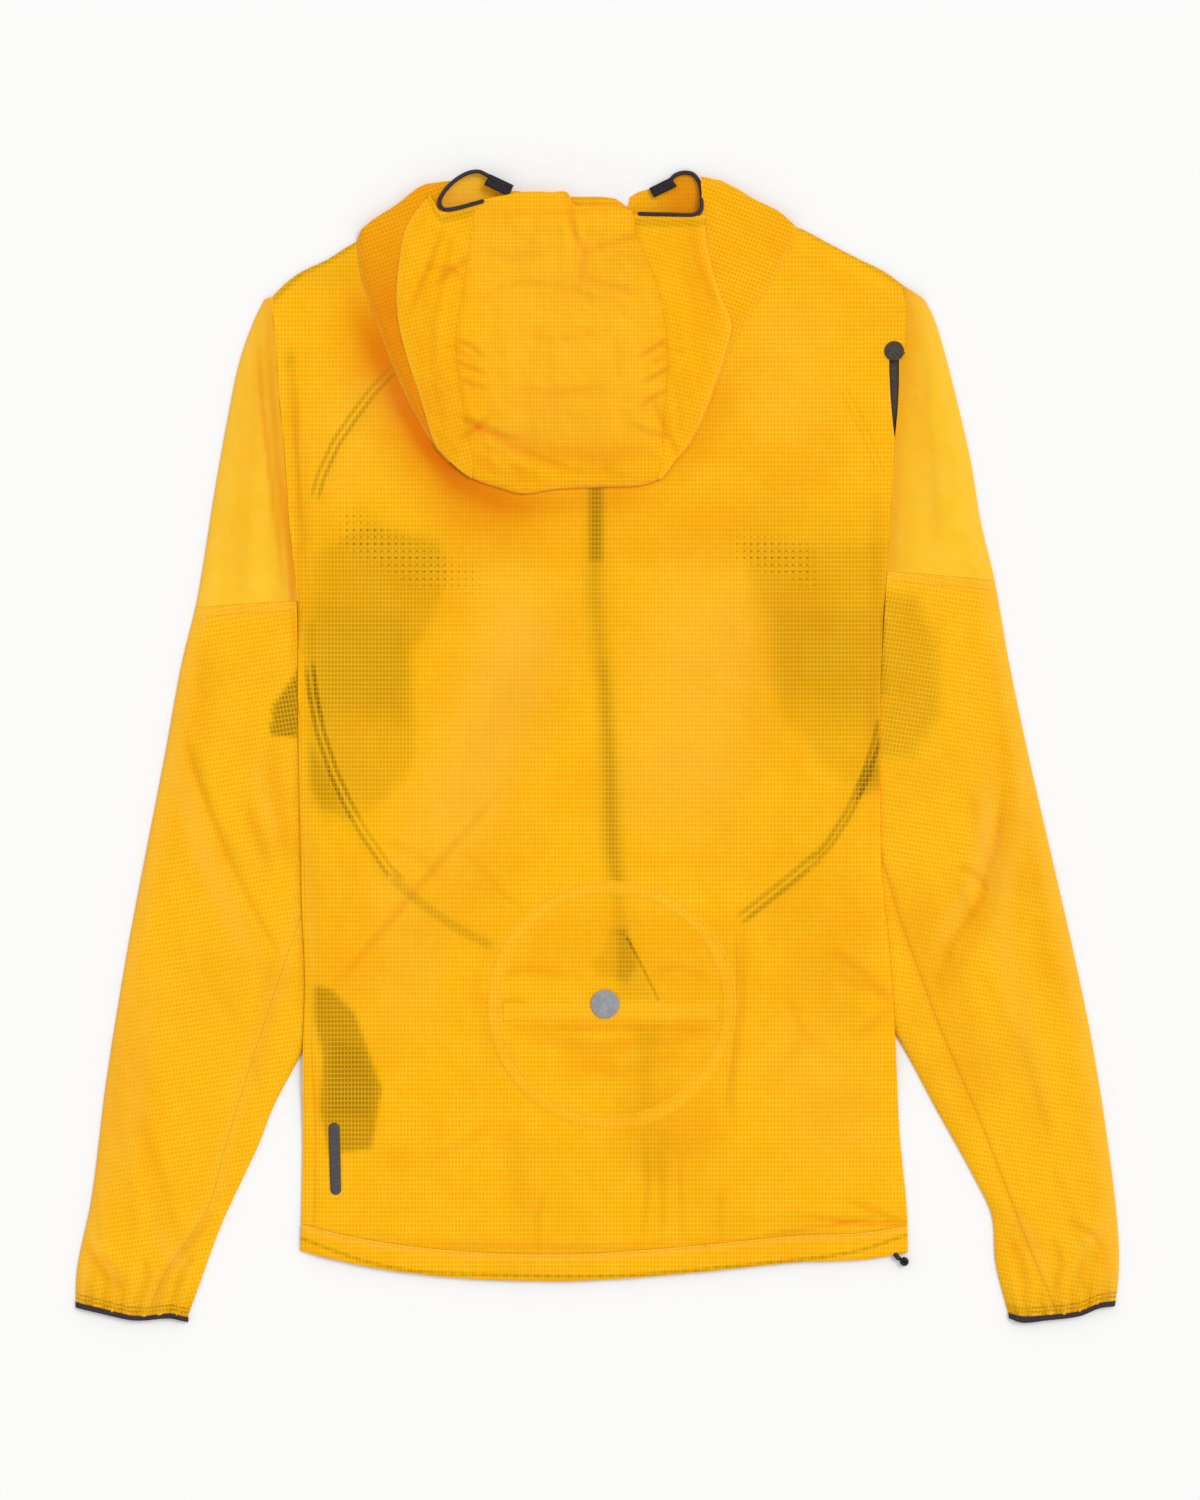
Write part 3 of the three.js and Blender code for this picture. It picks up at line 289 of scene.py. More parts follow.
def liftOver(sleeve, x, y):
    # how far the sleeve below lifts the body
    start, end, leaves, clear = sleeve["slips"]
    along = smooth((start - y) / (start - end)) * smooth((y - clear) / (leaves - clear))
    edge = sleeve["body"](y)
    covered = np.maximum(0, (edge - sleeve["inner"](y)) * sleeve["side"])
    inward = (edge - x) * sleeve["side"] - covered
    return 4.0 * along * (1 - smooth(inward / 44))


def bodyLift(x, y):
    return liftOver(leftSleeve, x, y) + liftOver(rightSleeve, x, y)


# Back: main folds of the solid and the finer ones of the cloth
backCloth = {
    "level": 0.85,  # above the underside of the solid
    "folds": [
        (-98, -72, -20, 77, 22, 0.9), (-144, -158, -52, -55, 20, 0.8), (-60, -10, 30, 110, 24, -0.6),
        (90, -100, 92, -240, 12, 0.6), (120, 140, 60, -20, 26, 0.7), (150, 60, 110, -90, 20, -0.6),
        (-172, 215, -178, 110, 16, 0.7), (158, 255, 166, 150, 16, 0.7), (66, -312, 185, -310, 7, 0.5),
        (100, -324, 180, -322, 6, 0.4), (-130, -292, -60, -330, 16, 0.5),
    ],
    "creases": [
        (-192, 230, -197, 96, 5, -0.7), (-186, -220, -189, -318, 6, -0.6), (-178, -150, -150, -60, 8, 0.5),
        (70, -310, 200, -306, 3.6, 0.5), (84, -316, 196, -313, 3.4, -0.5), (96, -321, 190, -319, 3.2, 0.5),
        (-150, -318, -90, -327, 5, 0.4), (-60, -328, 30, -329, 4, 0.35), (182, -40, 176, -110, 6, -0.5),
        (176, -150, 168, -230, 9, 0.5), (186, 180, 184, 110, 5, 0.5), (-70, -90, -56, -112, 6, 0.5),
        (66, -92, 78, -108, 6, -0.5), (-76, -168, -58, -172, 5, 0.5), (-74, -188, -50, -196, 5, 0.45),
        (92, -120, 108, -130, 6, 0.4), (-166, -150, -72, -38, 4, -0.6), (-66, -190, 0, -199, 5, -0.6),
        (0, -199, 78, -187, 5, -0.6), (-74, -152, -10, -150, 4, 0.5), (30, -150, 80, -153, 4, 0.5),
        (31, -255, 30, -332, 3, -0.5), (42, -256, 42, -332, 3, -0.5), (54, -264, 56, -332, 3, -0.45),
        (-205, 258, -192, 90, 3, -0.6), (140, -310, 203, -315, 3, -0.7), (112, -323, 163, -315, 3, 0.6),
        (168, -301, 200, -314, 3, -0.6), (20, -240, 60, -262, 14, 0.4), (-60, -240, -110, -278, 14, 0.4),
    ],
    "unevenness": 0.22,
}


def backSurface(x, y):
    sideway = np.minimum(x - bodyLeft(y), bodyRight(y) - x)
    below = smooth((cloth["underarm"] + 20 - y) / 40)
    sideDrop = below * (1 - smooth(sideway / 15))
    besideNeck = smooth((np.abs(x) - cloth["neckReach"]) / 20)
    shoulderDrop = besideNeck * (1 - smooth((shoulder(x) - y) / 15))
    drop = np.maximum(sideDrop, shoulderDrop)
    folds = foldHeight(backCloth["folds"], x, y) + foldHeight(backCloth["creases"], x, y)
    folds = folds + backCloth["unevenness"] * (ripple(x, y, 34, 3) + 0.5 * ripple(x, y, 13, 5))
    level = cloth["wall"] + mix(cloth["bodyHollow"], cloth["sideHollow"], drop) + backCloth["level"]
    sideEdge = below * (1 - roundEdge(sideway / 2.4))
    shoulderEdge = besideNeck * (1 - roundEdge((shoulder(x) - y) / 2.4))
    edge = np.maximum(sideEdge, shoulderEdge)
    return bodyLift(x, y) + level + folds * (1 - 0.8 * drop) - 0.85 * edge


# What shows through the cloth: soft areas and lines as (strength, softness or half width, points)
throughBack = {
    "leftPocketTop": (0.2, 26, [(-186, 150), (-150, 158), (-100, 134), (-112, 70), (-130, 20), (-190, 20)]),
    "leftPocketLow": (0.14, 16, [(-190, 96), (-128, 86), (-120, 30), (-119, -4), (-140, -36), (-190, -40)]),
    "leftPocket": (0.24, 8, [
        (-190, 126), (-152, 146), (-104, 136), (-98, 112), (-108, 84), (-124, 60), (-121, 30), (-119, -4),
        (-128, -24), (-150, -44), (-182, -54), (-190, -20),
    ]),
    "rightPocketTop": (0.2, 34, [(96, 158), (104, 100), (122, 30), (190, 10), (200, 158)]),
    "rightPocketLow": (0.12, 14, [(116, 90), (116, 40), (126, 14), (144, -6), (160, -22), (192, -26),
        (192, 90)]),
    "rightPocket": (0.2, 13, [
        (96, 134), (107, 84), (112, 40), (122, 14), (137, 4), (144, -9), (157, -22), (172, -30), (190, -30),
        (190, 134),
    ]),
    "leftEdgeBand": (0.18, 5, [(-208, 262), (-200, 262), (-195, 180), (-190, 60), (-197, 60), (-204, 180)]),
    "leftCorner": (0.26, 5, [(-191, 4), (-178, -17), (-164, -47), (-182, -43), (-190, -28)]),
    "rightCorner": (0.3, 5, [(186, 6), (168, -36), (188, -30)]),
    "leftSideStrip": (0.24, 4, [(-193.6, -222), (-188.4, -222), (-188, -322), (-193.6, -322)]),
    "leftSideMiddle": (0.16, 5, [(-194, -160), (-187, -160), (-188, -226), (-194, -226)]),
    "leftSideUpper": (0.1, 5, [(-196, 30), (-188, 20), (-186, -110), (-192, -110)]),
    "shoulderLeft": (0.5, 2.6, [
        (-217, 296), (-196, 316), (-178, 324), (-158, 336), (-158, 331.5), (-178, 319), (-194, 311.5),
        (-213, 293),
    ]),
    "shoulderRight": (0.5, 2.6, [(133, 345), (174, 323), (205, 304.5), (202.5, 301.5), (172.5, 318.8),
        (133, 340)]),
    "shoulderShade": (0.22, 12, [(-200, 310), (-156, 334), (-156, 308), (-180, 300)]),
    "ventSmudge": (0.3, 9, [(-206, 258), (-200, 258), (-200, 252), (-206, 252)]),
    "pullShade": (0.26, 4, [(13, -122), (18, -122), (37, -167), (12, -167)]),
    "pullKnot": (0.3, 6, [(8, -120), (20, -120), (26, -145), (20, -156), (-2, -153), (-4, -141),
        (4, -134)]),
    "zipBand": (0.46, 13, [
        (-7, 182), (4, 182), (4, 96), (9, 43), (13, -9), (15, -69), (19, -96), (9, -96), (3, -69), (2, -9),
        (-1, 43), (-8, 96),
    ]),
    "zipTop": (0.3, 3.5, [(-6.4, 190), (4.2, 190), (4, 122), (-6.4, 122)]),
    "zipLow": (0.12, 7, [(-2.4, 56), (7.4, 56), (18.6, -93), (7, -93), (2, -20)]),
    "zipInRing": (0.26, 5, [(8, -96), (17.4, -96), (20, -124), (11, -124)]),
    "zipShade": (0.08, 26, [(-8, 170), (10, 170), (20, -90), (44, -170), (44, -280), (14, -280), (0, -90)]),
    "leftSeamEnd": (0.2, 5, [(-194, 82), (-187, 82), (-187, 28), (-194, 28)]),
    "handPocket": (0.7, 4, [
        (-187, -157), (-175, -160), (-160, -176), (-149, -207), (-142, -226), (-145, -241), (-149, -266),
        (-178, -270), (-184, -240), (-182, -205), (-187, -180),
    ]),
    "handPocketCore": (0.1, 7, [(-176, -193), (-156, -200), (-148, -224), (-152, -244), (-178, -244)]),
    "pocketShade": (0.22, 9, [(24, -184), (40, -184), (37, -214), (38, -250), (26, -250), (27, -214)]),
    "lowSmudge": (0.16, 9, [(28, -252), (47, -252), (48, -290), (27, -290)]),
    "leftArcBand": (0.24, 7, [
        (-163, -45), (-139, -80), (-115, -101), (-69, -129), (-73, -136), (-120, -107), (-145, -85),
        (-169, -47),
    ]),
    "rightArcBand": (0.22, 7, [
        (178, -13), (164, -40), (129, -84), (97, -108), (101, -116), (134, -92), (170, -46), (184, -15),
    ]),
    "upperArcBand": (0.14, 10, [(-190, 160), (-174, 202), (-138, 248), (-132, 240), (-166, 196),
        (-182, 158)]),
    "rightRing": (0.1, 10, [(88, -112), (102, -112), (104, -170), (92, -176)]),
    "hemShade": (0.08, 14, [(-60, -262), (120, -262), (150, -322), (-60, -322)]),
}
drawnBack = [  # (strength, half width, half spacing of a double line, points)
    (0.5, 0.9, 0, [(18, -124), (28, -143), (41, -170)]),
    (0.5, 1.2, 2.4, [
        (-188, 160), (-183, 178), (-173, 200), (-161, 218), (-149, 234), (-130, 254),
    ]),
    (0.42, 1.3, 2.4, [
        (-191, 60), (-188, 34), (-183, 9), (-174.4, -17), (-165, -38), (-154.6, -56.6), (-137.7, -82),
        (-124, -95),
    ]),
    (0.22, 2.8, 0, [(-138.5, -86), (-117.5, -102.6), (-95, -119.6), (-66, -134)]),
    (0.42, 1.4, 1.9, [(187, 20), (184.3, 5), (176.4, -18.5), (165.6, -43), (152.5, -64.5), (139, -79)]),
    (0.44, 1.5, 2.7, [(147, -71), (126, -88.5), (98, -111), (91, -116)]),
    (0.2, 1.0, 2.3, [(160, 240), (176, 208), (188, 176)]),
    (0.22, 0.8, 0, [(91, -120), (92, -150), (90, -200), (84, -240)]),
]


spottedBack = [  # rows of small dots above the mesh: (strength, softness, points)
    (0.6, 14, [(84, 146), (142, 132), (144, 104), (88, 122)]),
    (0.6, 14, [(-170, 162), (-120, 134), (-78, 120), (-78, 100), (-124, 106), (-172, 136)]),
]


def paint(x, y, areas, lines):
    # soft show-through, and the lines as (signed distance, half width, strength, half spacing)
    through = np.zeros(np.shape(x))
    for strength, soft, points in areas.values():
        through = np.maximum(through, 0) + strength * softPolygon(x, y, points, soft)
    drawn = np.zeros(np.shape(x) + (4,))
    drawn[..., 0] = 99
    nearest = np.full(np.shape(x), 1e9)
    for strength, half, pair, points in lines:
        signed, along = lineDistance(x, y, points)
        beyond = np.abs(np.abs(signed) - pair) - half
        ends = smooth(along / 0.08) * smooth((1 - along) / 0.08)
        fade = smooth((half + pair + 7 - np.abs(signed)) / 3.5)
        fade = fade * smooth(ends * 4)
        closer = (beyond < nearest) & (along > 0.001) & (along < 0.999)
        nearest = np.where(closer, beyond, nearest)
        for channel, value in enumerate((signed, half, strength * ends * fade, pair)):
            drawn[..., channel] = np.where(closer, value, drawn[..., channel])
    return through, drawn


# Materials
def tone(red, green, blue):
    # a colour as it looks on screen
    linear = [(c / 255 / 12.92) if c < 11 else ((c / 255 + 0.055) / 1.055) ** 2.4
              for c in (red, green, blue)]
    return (*linear, 1.0)


def addNode(tree, kind, values=(), **settings):
    made = tree.nodes.new(kind)
    for key, value in settings.items():
        setattr(made, key, value)
    for socket, value in values:
        if isinstance(value, bpy.types.NodeSocket):
            tree.links.new(value, made.inputs[socket])
        else:
            made.inputs[socket].default_value = value
    return made


def maths(tree, operation, a, b=0.0):
    return addNode(tree, "ShaderNodeMath", [(0, a), (1, b)], operation=operation).outputs[0]


def blendColour(tree, share, a, b):
    made = addNode(tree, "ShaderNodeMix", [(0, share), (6, a), (7, b)], data_type="RGBA")
    return made.outputs[2]


def ramp(tree, value, start, end, low=0.0, high=1.0):
    values = [(0, value), (1, start), (2, end), (3, low), (4, high)]
    return addNode(tree, "ShaderNodeMapRange", values, interpolation_type="SMOOTHSTEP").outputs[0]


def attribute(tree, name, output="Fac"):
    return addNode(tree, "ShaderNodeAttribute", attribute_name=name).outputs[output]


def noise(tree, scale, detail=2.0, stretch=(1.0, 1.0, 1.0)):
    place = addNode(tree, "ShaderNodeTexCoord").outputs["Object"]
    placed = addNode(tree, "ShaderNodeMapping", [("Vector", place), ("Scale", stretch)]).outputs[0]
    wanted = [("Vector", placed), ("Scale", scale), ("Detail", detail)]
    return addNode(tree, "ShaderNodeTexNoise", wanted).outputs[0]


def newMaterial(name, colour, roughness, specular=0.3):
    material = bpy.data.materials.new(name)
    material.use_nodes = True
    bsdf = material.node_tree.nodes["Principled BSDF"]
    bsdf.inputs["Base Color"].default_value = colour
    bsdf.inputs["Roughness"].default_value = roughness
    bsdf.inputs["Specular IOR Level"].default_value = specular
    return material, material.node_tree, bsdf


def clothMaterial(name, look):
    material, tree, bsdf = newMaterial(name, look["colour"], look["roughness"], 0.06)
    placed = addNode(tree, "ShaderNodeSeparateXYZ", [(0, attribute(tree, "weaveAt", "Vector"))])
    threads = []
    for axis, pitch in enumerate(look["pitch"]):
        turns = maths(tree, "DIVIDE", placed.outputs[axis], pitch)
        wave = maths(tree, "PINGPONG", turns, 0.5)
        threads.append(ramp(tree, wave, look["thread"], look["thread"] + 0.14, 1.0, 0.0))
    grid = maths(tree, "MAXIMUM", threads[0], threads[1])
    cells = maths(tree, "SUBTRACT", 1.0, grid)
    mottle = ramp(tree, noise(tree, 60.0, 3.0), 0.35, 0.7, 0.0, look["mottle"])
    colour = blendColour(tree, mottle, look["colour"], look["lighter"])
    unevenThreads = ramp(tree, noise(tree, look["threadNoise"], 2.0), 0.3, 0.7, 0.75, 1.0)
    cellShare = maths(tree, "MULTIPLY", maths(tree, "MULTIPLY", cells, look["grid"]), unevenThreads)
    colour = blendColour(tree, cellShare, colour, look["cell"])
    # random drift towards the deep orange that is also the painted shade colour
    drift = ramp(tree, noise(tree, 16.0, 2.0), 0.4, 0.68, 0.0, look["drift"])
    colour = blendColour(tree, drift, colour, look["deep"])
    doubled = maths(tree, "MULTIPLY", cells, attribute(tree, "doubled"))
    colour = blendColour(tree, doubled, colour, look["doubled"])
    # painted shade: a per-point share mixed towards deep orange in creases, under folds and beside raised
    # edges
    colour = blendColour(tree, attribute(tree, "paintedShade"), colour, look["deep"])
    # painted highlights on ridges and thin edges, and pale bands, from a per-point share mixed towards the
    # pale colour
    colour = blendColour(tree, attribute(tree, "paleBandsAndHighlights"), colour, look["pale"])
    drawn = addNode(tree, "ShaderNodeSeparateXYZ", [(0, attribute(tree, "drawn", "Vector"))])
    offCentre = maths(tree, "ABSOLUTE", drawn.outputs[0])
    offCentre = maths(tree, "SUBTRACT", offCentre, attribute(tree, "drawn", "Alpha"))
    offLine = maths(tree, "SUBTRACT", maths(tree, "ABSOLUTE", offCentre), drawn.outputs[1])
    line = maths(tree, "MULTIPLY", ramp(tree, offLine, -0.5, 0.9, 1.0, 0.0), drawn.outputs[2])
    spots = []
    for axis in (0, 1):
        turns = maths(tree, "DIVIDE", placed.outputs[axis], look["spotPitch"])
        spots.append(ramp(tree, maths(tree, "PINGPONG", turns, 0.5), 0.1, 0.2, 1.0, 0.0))
    spot = maths(tree, "MULTIPLY", maths(tree, "MULTIPLY", spots[0], spots[1]), attribute(tree, "spotted"))
    seen = maths(tree, "ADD", maths(tree, "ADD", attribute(tree, "through"), line), spot)
    seen = maths(tree, "MINIMUM", seen, 0.95)
    kept = maths(tree, "SUBTRACT", 1.0, maths(tree, "MULTIPLY", grid, look["threadKept"]))
    olive = blendColour(tree, seen, look["olive"], look["darkOlive"])
    colour = blendColour(tree, maths(tree, "MULTIPLY", seen, kept), colour, olive)
    tree.links.new(colour, bsdf.inputs["Base Color"])
    crinkle = noise(tree, look["crinkle"], 3.0)
    relief = maths(tree, "MULTIPLY", grid, look["threadHeight"])
    relief = maths(tree, "ADD", relief, crinkle)
    bump = addNode(tree, "ShaderNodeBump",
                   [("Strength", look["bump"]), ("Distance", 0.0012), ("Height", relief)])
    tree.links.new(bump.outputs[0], bsdf.inputs["Normal"])
    return material


bodyLook = {
    "colour": tone(255, 195, 20),
    "lighter": tone(255, 201, 34),
    "cell": tone(255, 170, 0),
    "doubled": tone(242, 154, 0),
    # deep: colour of the painted shade, also used for the random drift; pale: colour of the painted
    # highlights and pale bands
    "deep": tone(224, 116, 0),
    "pale": tone(255, 192, 66),
    "olive": tone(212, 158, 0),
    "darkOlive": tone(112, 80, 0),
    "pitch": (2.26, 3.0),
    "spotPitch": 4.6,
    "thread": 0.08,
    "grid": 1.0,
    "threadNoise": 420.0,
    "drift": 0.1,
    "threadKept": 0.5,
    "threadHeight": 0.1,
    "mottle": 0.8,
    "crinkle": 95.0,
    "bump": 0.5,
    "roughness": 0.6,
}
sleeveLook = {**bodyLook, "cell": tone(255, 173, 2), "colour": tone(255, 196, 26)}
yokeLook = {
    **bodyLook, "colour": tone(255, 204, 48), "lighter": tone(255, 210, 64), "cell": tone(255, 190, 26),
    "pitch": (1.5, 2.0), "grid": 0.8, "threadHeight": 0.05, "drift": 0.03,
}
hoodLook = {
    **bodyLook, "colour": tone(255, 191, 14), "lighter": tone(255, 197, 28), "cell": tone(254, 168, 0),
    "pitch": (2.3, 2.75), "crinkle": 120.0, "bump": 0.6,
}
insideLook = {**bodyLook, "colour": tone(255, 192, 18), "cell": tone(255, 169, 0)}
bodyCloth = clothMaterial("bodyRipstop", bodyLook)
sleeveCloth = clothMaterial("sleeveRipstop", sleeveLook)
yokeCloth = clothMaterial("yokePlainWeave", yokeLook)
hoodCloth = clothMaterial("hoodRipstop", hoodLook)
insideCloth = clothMaterial("insideRipstop", insideLook)


def ribbedMaterial(name, colour, lighter, roughness, scale, strength):
    material, tree, bsdf = newMaterial(name, colour, roughness)
    flecks = noise(tree, scale, 2.0)
    mixed = blendColour(tree, ramp(tree, flecks, 0.4, 0.65), colour, lighter)
    tree.links.new(mixed, bsdf.inputs["Base Color"])
    bump = addNode(tree, "ShaderNodeBump",
                   [("Strength", strength), ("Distance", 0.0004), ("Height", flecks)])
    tree.links.new(bump.outputs[0], bsdf.inputs["Normal"])
    return material


bindingCloth = ribbedMaterial("elasticBinding", tone(44, 36, 44), tone(66, 56, 62), 0.75, 1400.0, 0.5)
webbing = ribbedMaterial("blackTape", tone(26, 20, 22), tone(44, 38, 40), 0.7, 1200.0, 0.5)
meshCloth = ribbedMaterial("darkMesh", tone(62, 54, 48), tone(84, 72, 60), 0.8, 900.0, 0.4)
labelFilm = ribbedMaterial("greyLabel", tone(74, 68, 70), tone(82, 76, 76), 0.55, 500.0, 0.1)
silverFilm = ribbedMaterial("silverFilm", tone(146, 147, 150), tone(158, 159, 162), 0.42, 300.0, 0.05)
blackPlastic = ribbedMaterial("blackPlastic", tone(26, 18, 18), tone(34, 26, 24), 0.28, 200.0, 0.03)
coilPlastic = ribbedMaterial("coilPlastic", tone(226, 150, 26), tone(236, 166, 44), 0.4, 700.0, 0.1)
thread = ribbedMaterial("thread", tone(250, 172, 14), tone(254, 184, 30), 0.7, 1500.0, 0.2)


# Pieces
def makeMesh(name, points, faces, material):
    mesh = bpy.data.meshes.new(name)
    mesh.from_pydata((np.asarray(points, float).reshape(-1, 3) * mm).tolist(), [], faces)
    mesh.polygons.foreach_set("use_smooth", [True] * len(mesh.polygons))
    mesh.materials.append(material)
    mesh.update()
    piece = bpy.data.objects.new(name, mesh)
    bpy.context.scene.collection.objects.link(piece)
    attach(piece, "root")
    return piece


def gridFaces(rows, columns, loops=False, turned=False):
    faces = []
    for i in range(rows - 1):
        for j in range(columns if loops else columns - 1):
            after = (j + 1) % columns
            quad = (i * columns + j, i * columns + after, (i + 1) * columns + after, (i + 1) * columns + j)
            faces.append(quad[::-1] if turned else quad)
    return faces


def setValues(piece, name, values, kind="FLOAT"):
    field = {"FLOAT": "value", "FLOAT_VECTOR": "vector", "FLOAT_COLOR": "color"}[kind]
    layer = piece.data.attributes.new(name, kind, "POINT")
    layer.data.foreach_set(field, np.ascontiguousarray(values, dtype=np.float32).ravel())


def declare(piece, nodes, flat=None, area=None):
    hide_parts(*nodes)
    if flat:
        share = flat[0] * flat[1] if area is None else area
        surface = sum(polygon.area for polygon in piece.data.polygons)
        print(piece.name, "area share", round(surface / share, 2))


def clothGrid(name, grid, material, weaveTurn=0.0, turned=False):
    rows, columns = grid.shape[:2]
    piece = makeMesh(name, grid, gridFaces(rows, columns, turned=turned), material)
    x, y = grid[..., 0], grid[..., 1]
    cosine, sine = math.cos(weaveTurn), math.sin(weaveTurn)
    weave = np.stack([x * cosine - y * sine, x * sine + y * cosine, 0 * x], -1)
    setValues(piece, "weaveAt", weave, "FLOAT_VECTOR")
    return piece, x, y


def panelGrid(fromEdge, toEdge, bottom, top, across, rows, height):
    f = np.asarray(across, float)[None, :]
    low, high = meet(bottom, fromEdge, toEdge, f), meet(top, fromEdge, toEdge, f)
    y = mix(high, low, np.linspace(0, 1, rows + 1)[:, None])
    x = mix(fromEdge(y), toEdge(y), f)
    return np.stack([x, y, height(x, y)], -1)


def even(count):
    return np.linspace(0, 1, count + 1)


# Back panel and its hem channel
ventSlit = {
    "top": 259.0,
    "bottom": 203.0,
    "width": 10.2,
    "sleeveEdge": 3.9,  # how far the sleeve covers the slit from its side
}


def slitOpen(y):
    down = clamp01((ventSlit["top"] - y) / (ventSlit["top"] - ventSlit["bottom"]))
    return ventSlit["width"] * smooth(down / 0.06) * (1 - down ** 1.5) * (y > ventSlit["bottom"])


def slitCover(y):
    down = (ventSlit["top"] - y) / (ventSlit["top"] - ventSlit["bottom"])
    return ventSlit["sleeveEdge"] * smooth(down / 0.06) * clamp01(1 - down) ** 1.6


def backLeftEdge(y):
    return bodyLeft(y) + (turnReach(y) + 0.3) * smooth((34 - y) / 22)


def backRightEdge(y):
    return bodyRight(y) - slitOpen(y)


def hemSeam(x):
    return hem(x) + cloth["hemDepth"]


backSteps = {"across": 150, "along": 260}
grid = panelGrid(backLeftEdge, backRightEdge, hemSeam, shoulder,
                 even(backSteps["across"]), backSteps["along"], backSurface)
backPanel, x, y = clothGrid("back_panel_cloth", grid, bodyCloth, turned=True)
through, drawn = paint(x, y, throughBack, drawnBack)
setValues(backPanel, "through", through)
setValues(backPanel, "drawn", drawn, "FLOAT_COLOR")
spotted = sum(strength * softPolygon(x, y, points, soft) for strength, soft, points in spottedBack)
setValues(backPanel, "spotted", spotted)
backPaintedShade = [  # painted shade in creases, wrinkles, under the pocket lip and beside the hood: (strength, width, softness, points)
    (0.28, 1, 3, [(-206, 280), (-202, 250), (-199.5, 220), (-198, 180), (-197.5, 130), (-198, 60)]),
    (0.56, 6, 17, [(-166, 330), (-154, 288), (-142, 258), (-126, 226), (-110, 200), (-92, 178), (-66, 164),
        (-30, 156)]),
    (0.38, 10, 34, [(-170, 330), (-156, 278), (-146, 250), (-130, 216), (-114, 190), (-92, 168),
        (-60, 152), (-10, 150)]),
    (0.4, 4, 10, [(-136, 250), (-122, 222), (-108, 199), (-90, 178)]),
    (0.25, 4, 14, [(-90, 172), (-48, 160), (-10, 164), (30, 166), (52, 178)]),
    (0.22, 4, 16, [(30, 164), (48, 174), (68, 200), (80, 226), (96, 262)]),
    (0.12, 8, 40, [(-98, -72), (-60, 0), (-20, 77), (10, 130)]),
    (0.26, 1, 4, [(-190, -176), (-166, -150), (-118, -92), (-72, -38), (-50, -10)]),
    (0.12, 8, 36, [(-150, -168), (-100, -105), (-30, -40)]),
    (0.1, 14, 50, [(-180, -40), (-166, -130), (-150, -190)]),
    (0.1, 14, 50, [(90, -90), (150, -120), (196, -150)]),
    (0.12, 24, 22, [(-100, -132), (-50, -132), (8, -129), (70, -134), (110, -134)]),
    (0.1, 24, 22, [(40, -150), (58, -200), (62, -230), (56, -290)]),
    (0.16, 26, 20, [(-110, 142), (-40, 142), (40, 142), (110, 142)]),
    (0.1, 10, 30, [(88, 110), (100, 60), (104, 20)]),
    (0.3, 1, 4, [(-80, -184), (-30, -186), (40, -185.5), (92, -187)]),
    (0.12, 8, 30, [(0, -236), (60, -256), (96, -250)]),
    (0.24, 1, 5, [(96, -100), (95, -170), (88, -230), (92, -272)]),
    (0.12, 2, 8, [(-84, -140), (-78, -172), (-66, -206)]),
    (0.15, 1, 5, [(-80, -166), (-60, -170), (-42, -169)]),
    (0.1, 2, 12, [(104, -230), (136, -196), (156, -170)]),
    (0.12, 3, 14, [(-64, -240), (-52, -290), (-38, -322)]),
    (0.2, 3, 6, [(-66, -188), (-52, -192), (0, -199), (52, -194), (84, -184)]),
    (0.16, 3, 8, [(-30, -204), (14, -214), (66, -202)]),
    (0.18, 1, 4, [(-74, -152), (-44, -147), (-10, -152)]),
    (0.18, 1, 4, [(-76, -166), (-40, -173), (-8, -168)]),
    (0.16, 1, 4, [(30, -150), (52, -146), (80, -154)]),
    (0.2, 1, 3, [(29, -252), (33, -290), (28, -336)]),
    (0.18, 1, 3, [(39, -252), (43, -300), (41, -336)]),
    (0.16, 1, 3, [(52, -262), (55, -300), (56, -336)]),
    (0.16, 1, 3, [(-34, -290), (-40, -312), (-38, -338)]),
    (0.14, 1, 3, [(84, -286), (80, -310), (84, -336)]),
    (0.16, 1, 4, [(-150, -60), (-120, -70), (-96, -96)]),
    (0.16, 1, 4, [(-96, -60), (-60, -100), (-40, -112)]),
    (0.14, 1, 5, [(-64, -240), (-86, -262), (-120, -276)]),
    (0.14, 1, 5, [(120, -150), (136, -190), (166, -214)]),
    (0.2, 1, 3, [(-205, 258), (-200, 200), (-194, 140), (-190, 70)]),
    (0.14, 1, 3, [(-199, 250), (-193, 180), (-187, 100)]),
    (0.25, 1, 5, [(-186, -200), (-190, -270), (-188, -330)]),
    (0.2, 2, 8, [(187, 200), (184, 90), (181, 20), (182, -80)]),
    (0.34, 1, 2.5, [(120, -306), (140, -310), (163, -313.5), (177, -314.7), (203, -314.7), (222, -314)]),
    (0.3, 1, 2.5, [(96, -325), (112, -322.7), (140, -318), (163, -314.7), (186, -311)]),
    (0.26, 1, 2.5, [(152, -296), (168, -301), (200, -313.5), (216, -320)]),
    (0.2, 1, 4, [(-182, -311), (-156, -320), (-122, -328), (-84, -330), (8, -331), (109, -323)]),
    (0.12, 6, 34, [(50, 106), (110, 150), (176, 236)]),
    (0.24, 1, 6, [(148, -130), (176, -150), (200, -172)]),
    (0.2, 1, 6, [(156, -150), (180, -160), (200, -172)]),
    (0.18, 1, 6, [(166, -196), (184, -180), (199, -168)]),
    (0.12, 8, 30, [(-110, 170), (-96, 120), (-102, 60)]),
    (0.12, 10, 40, [(152, 130), (120, 60), (110, -20)]),
]


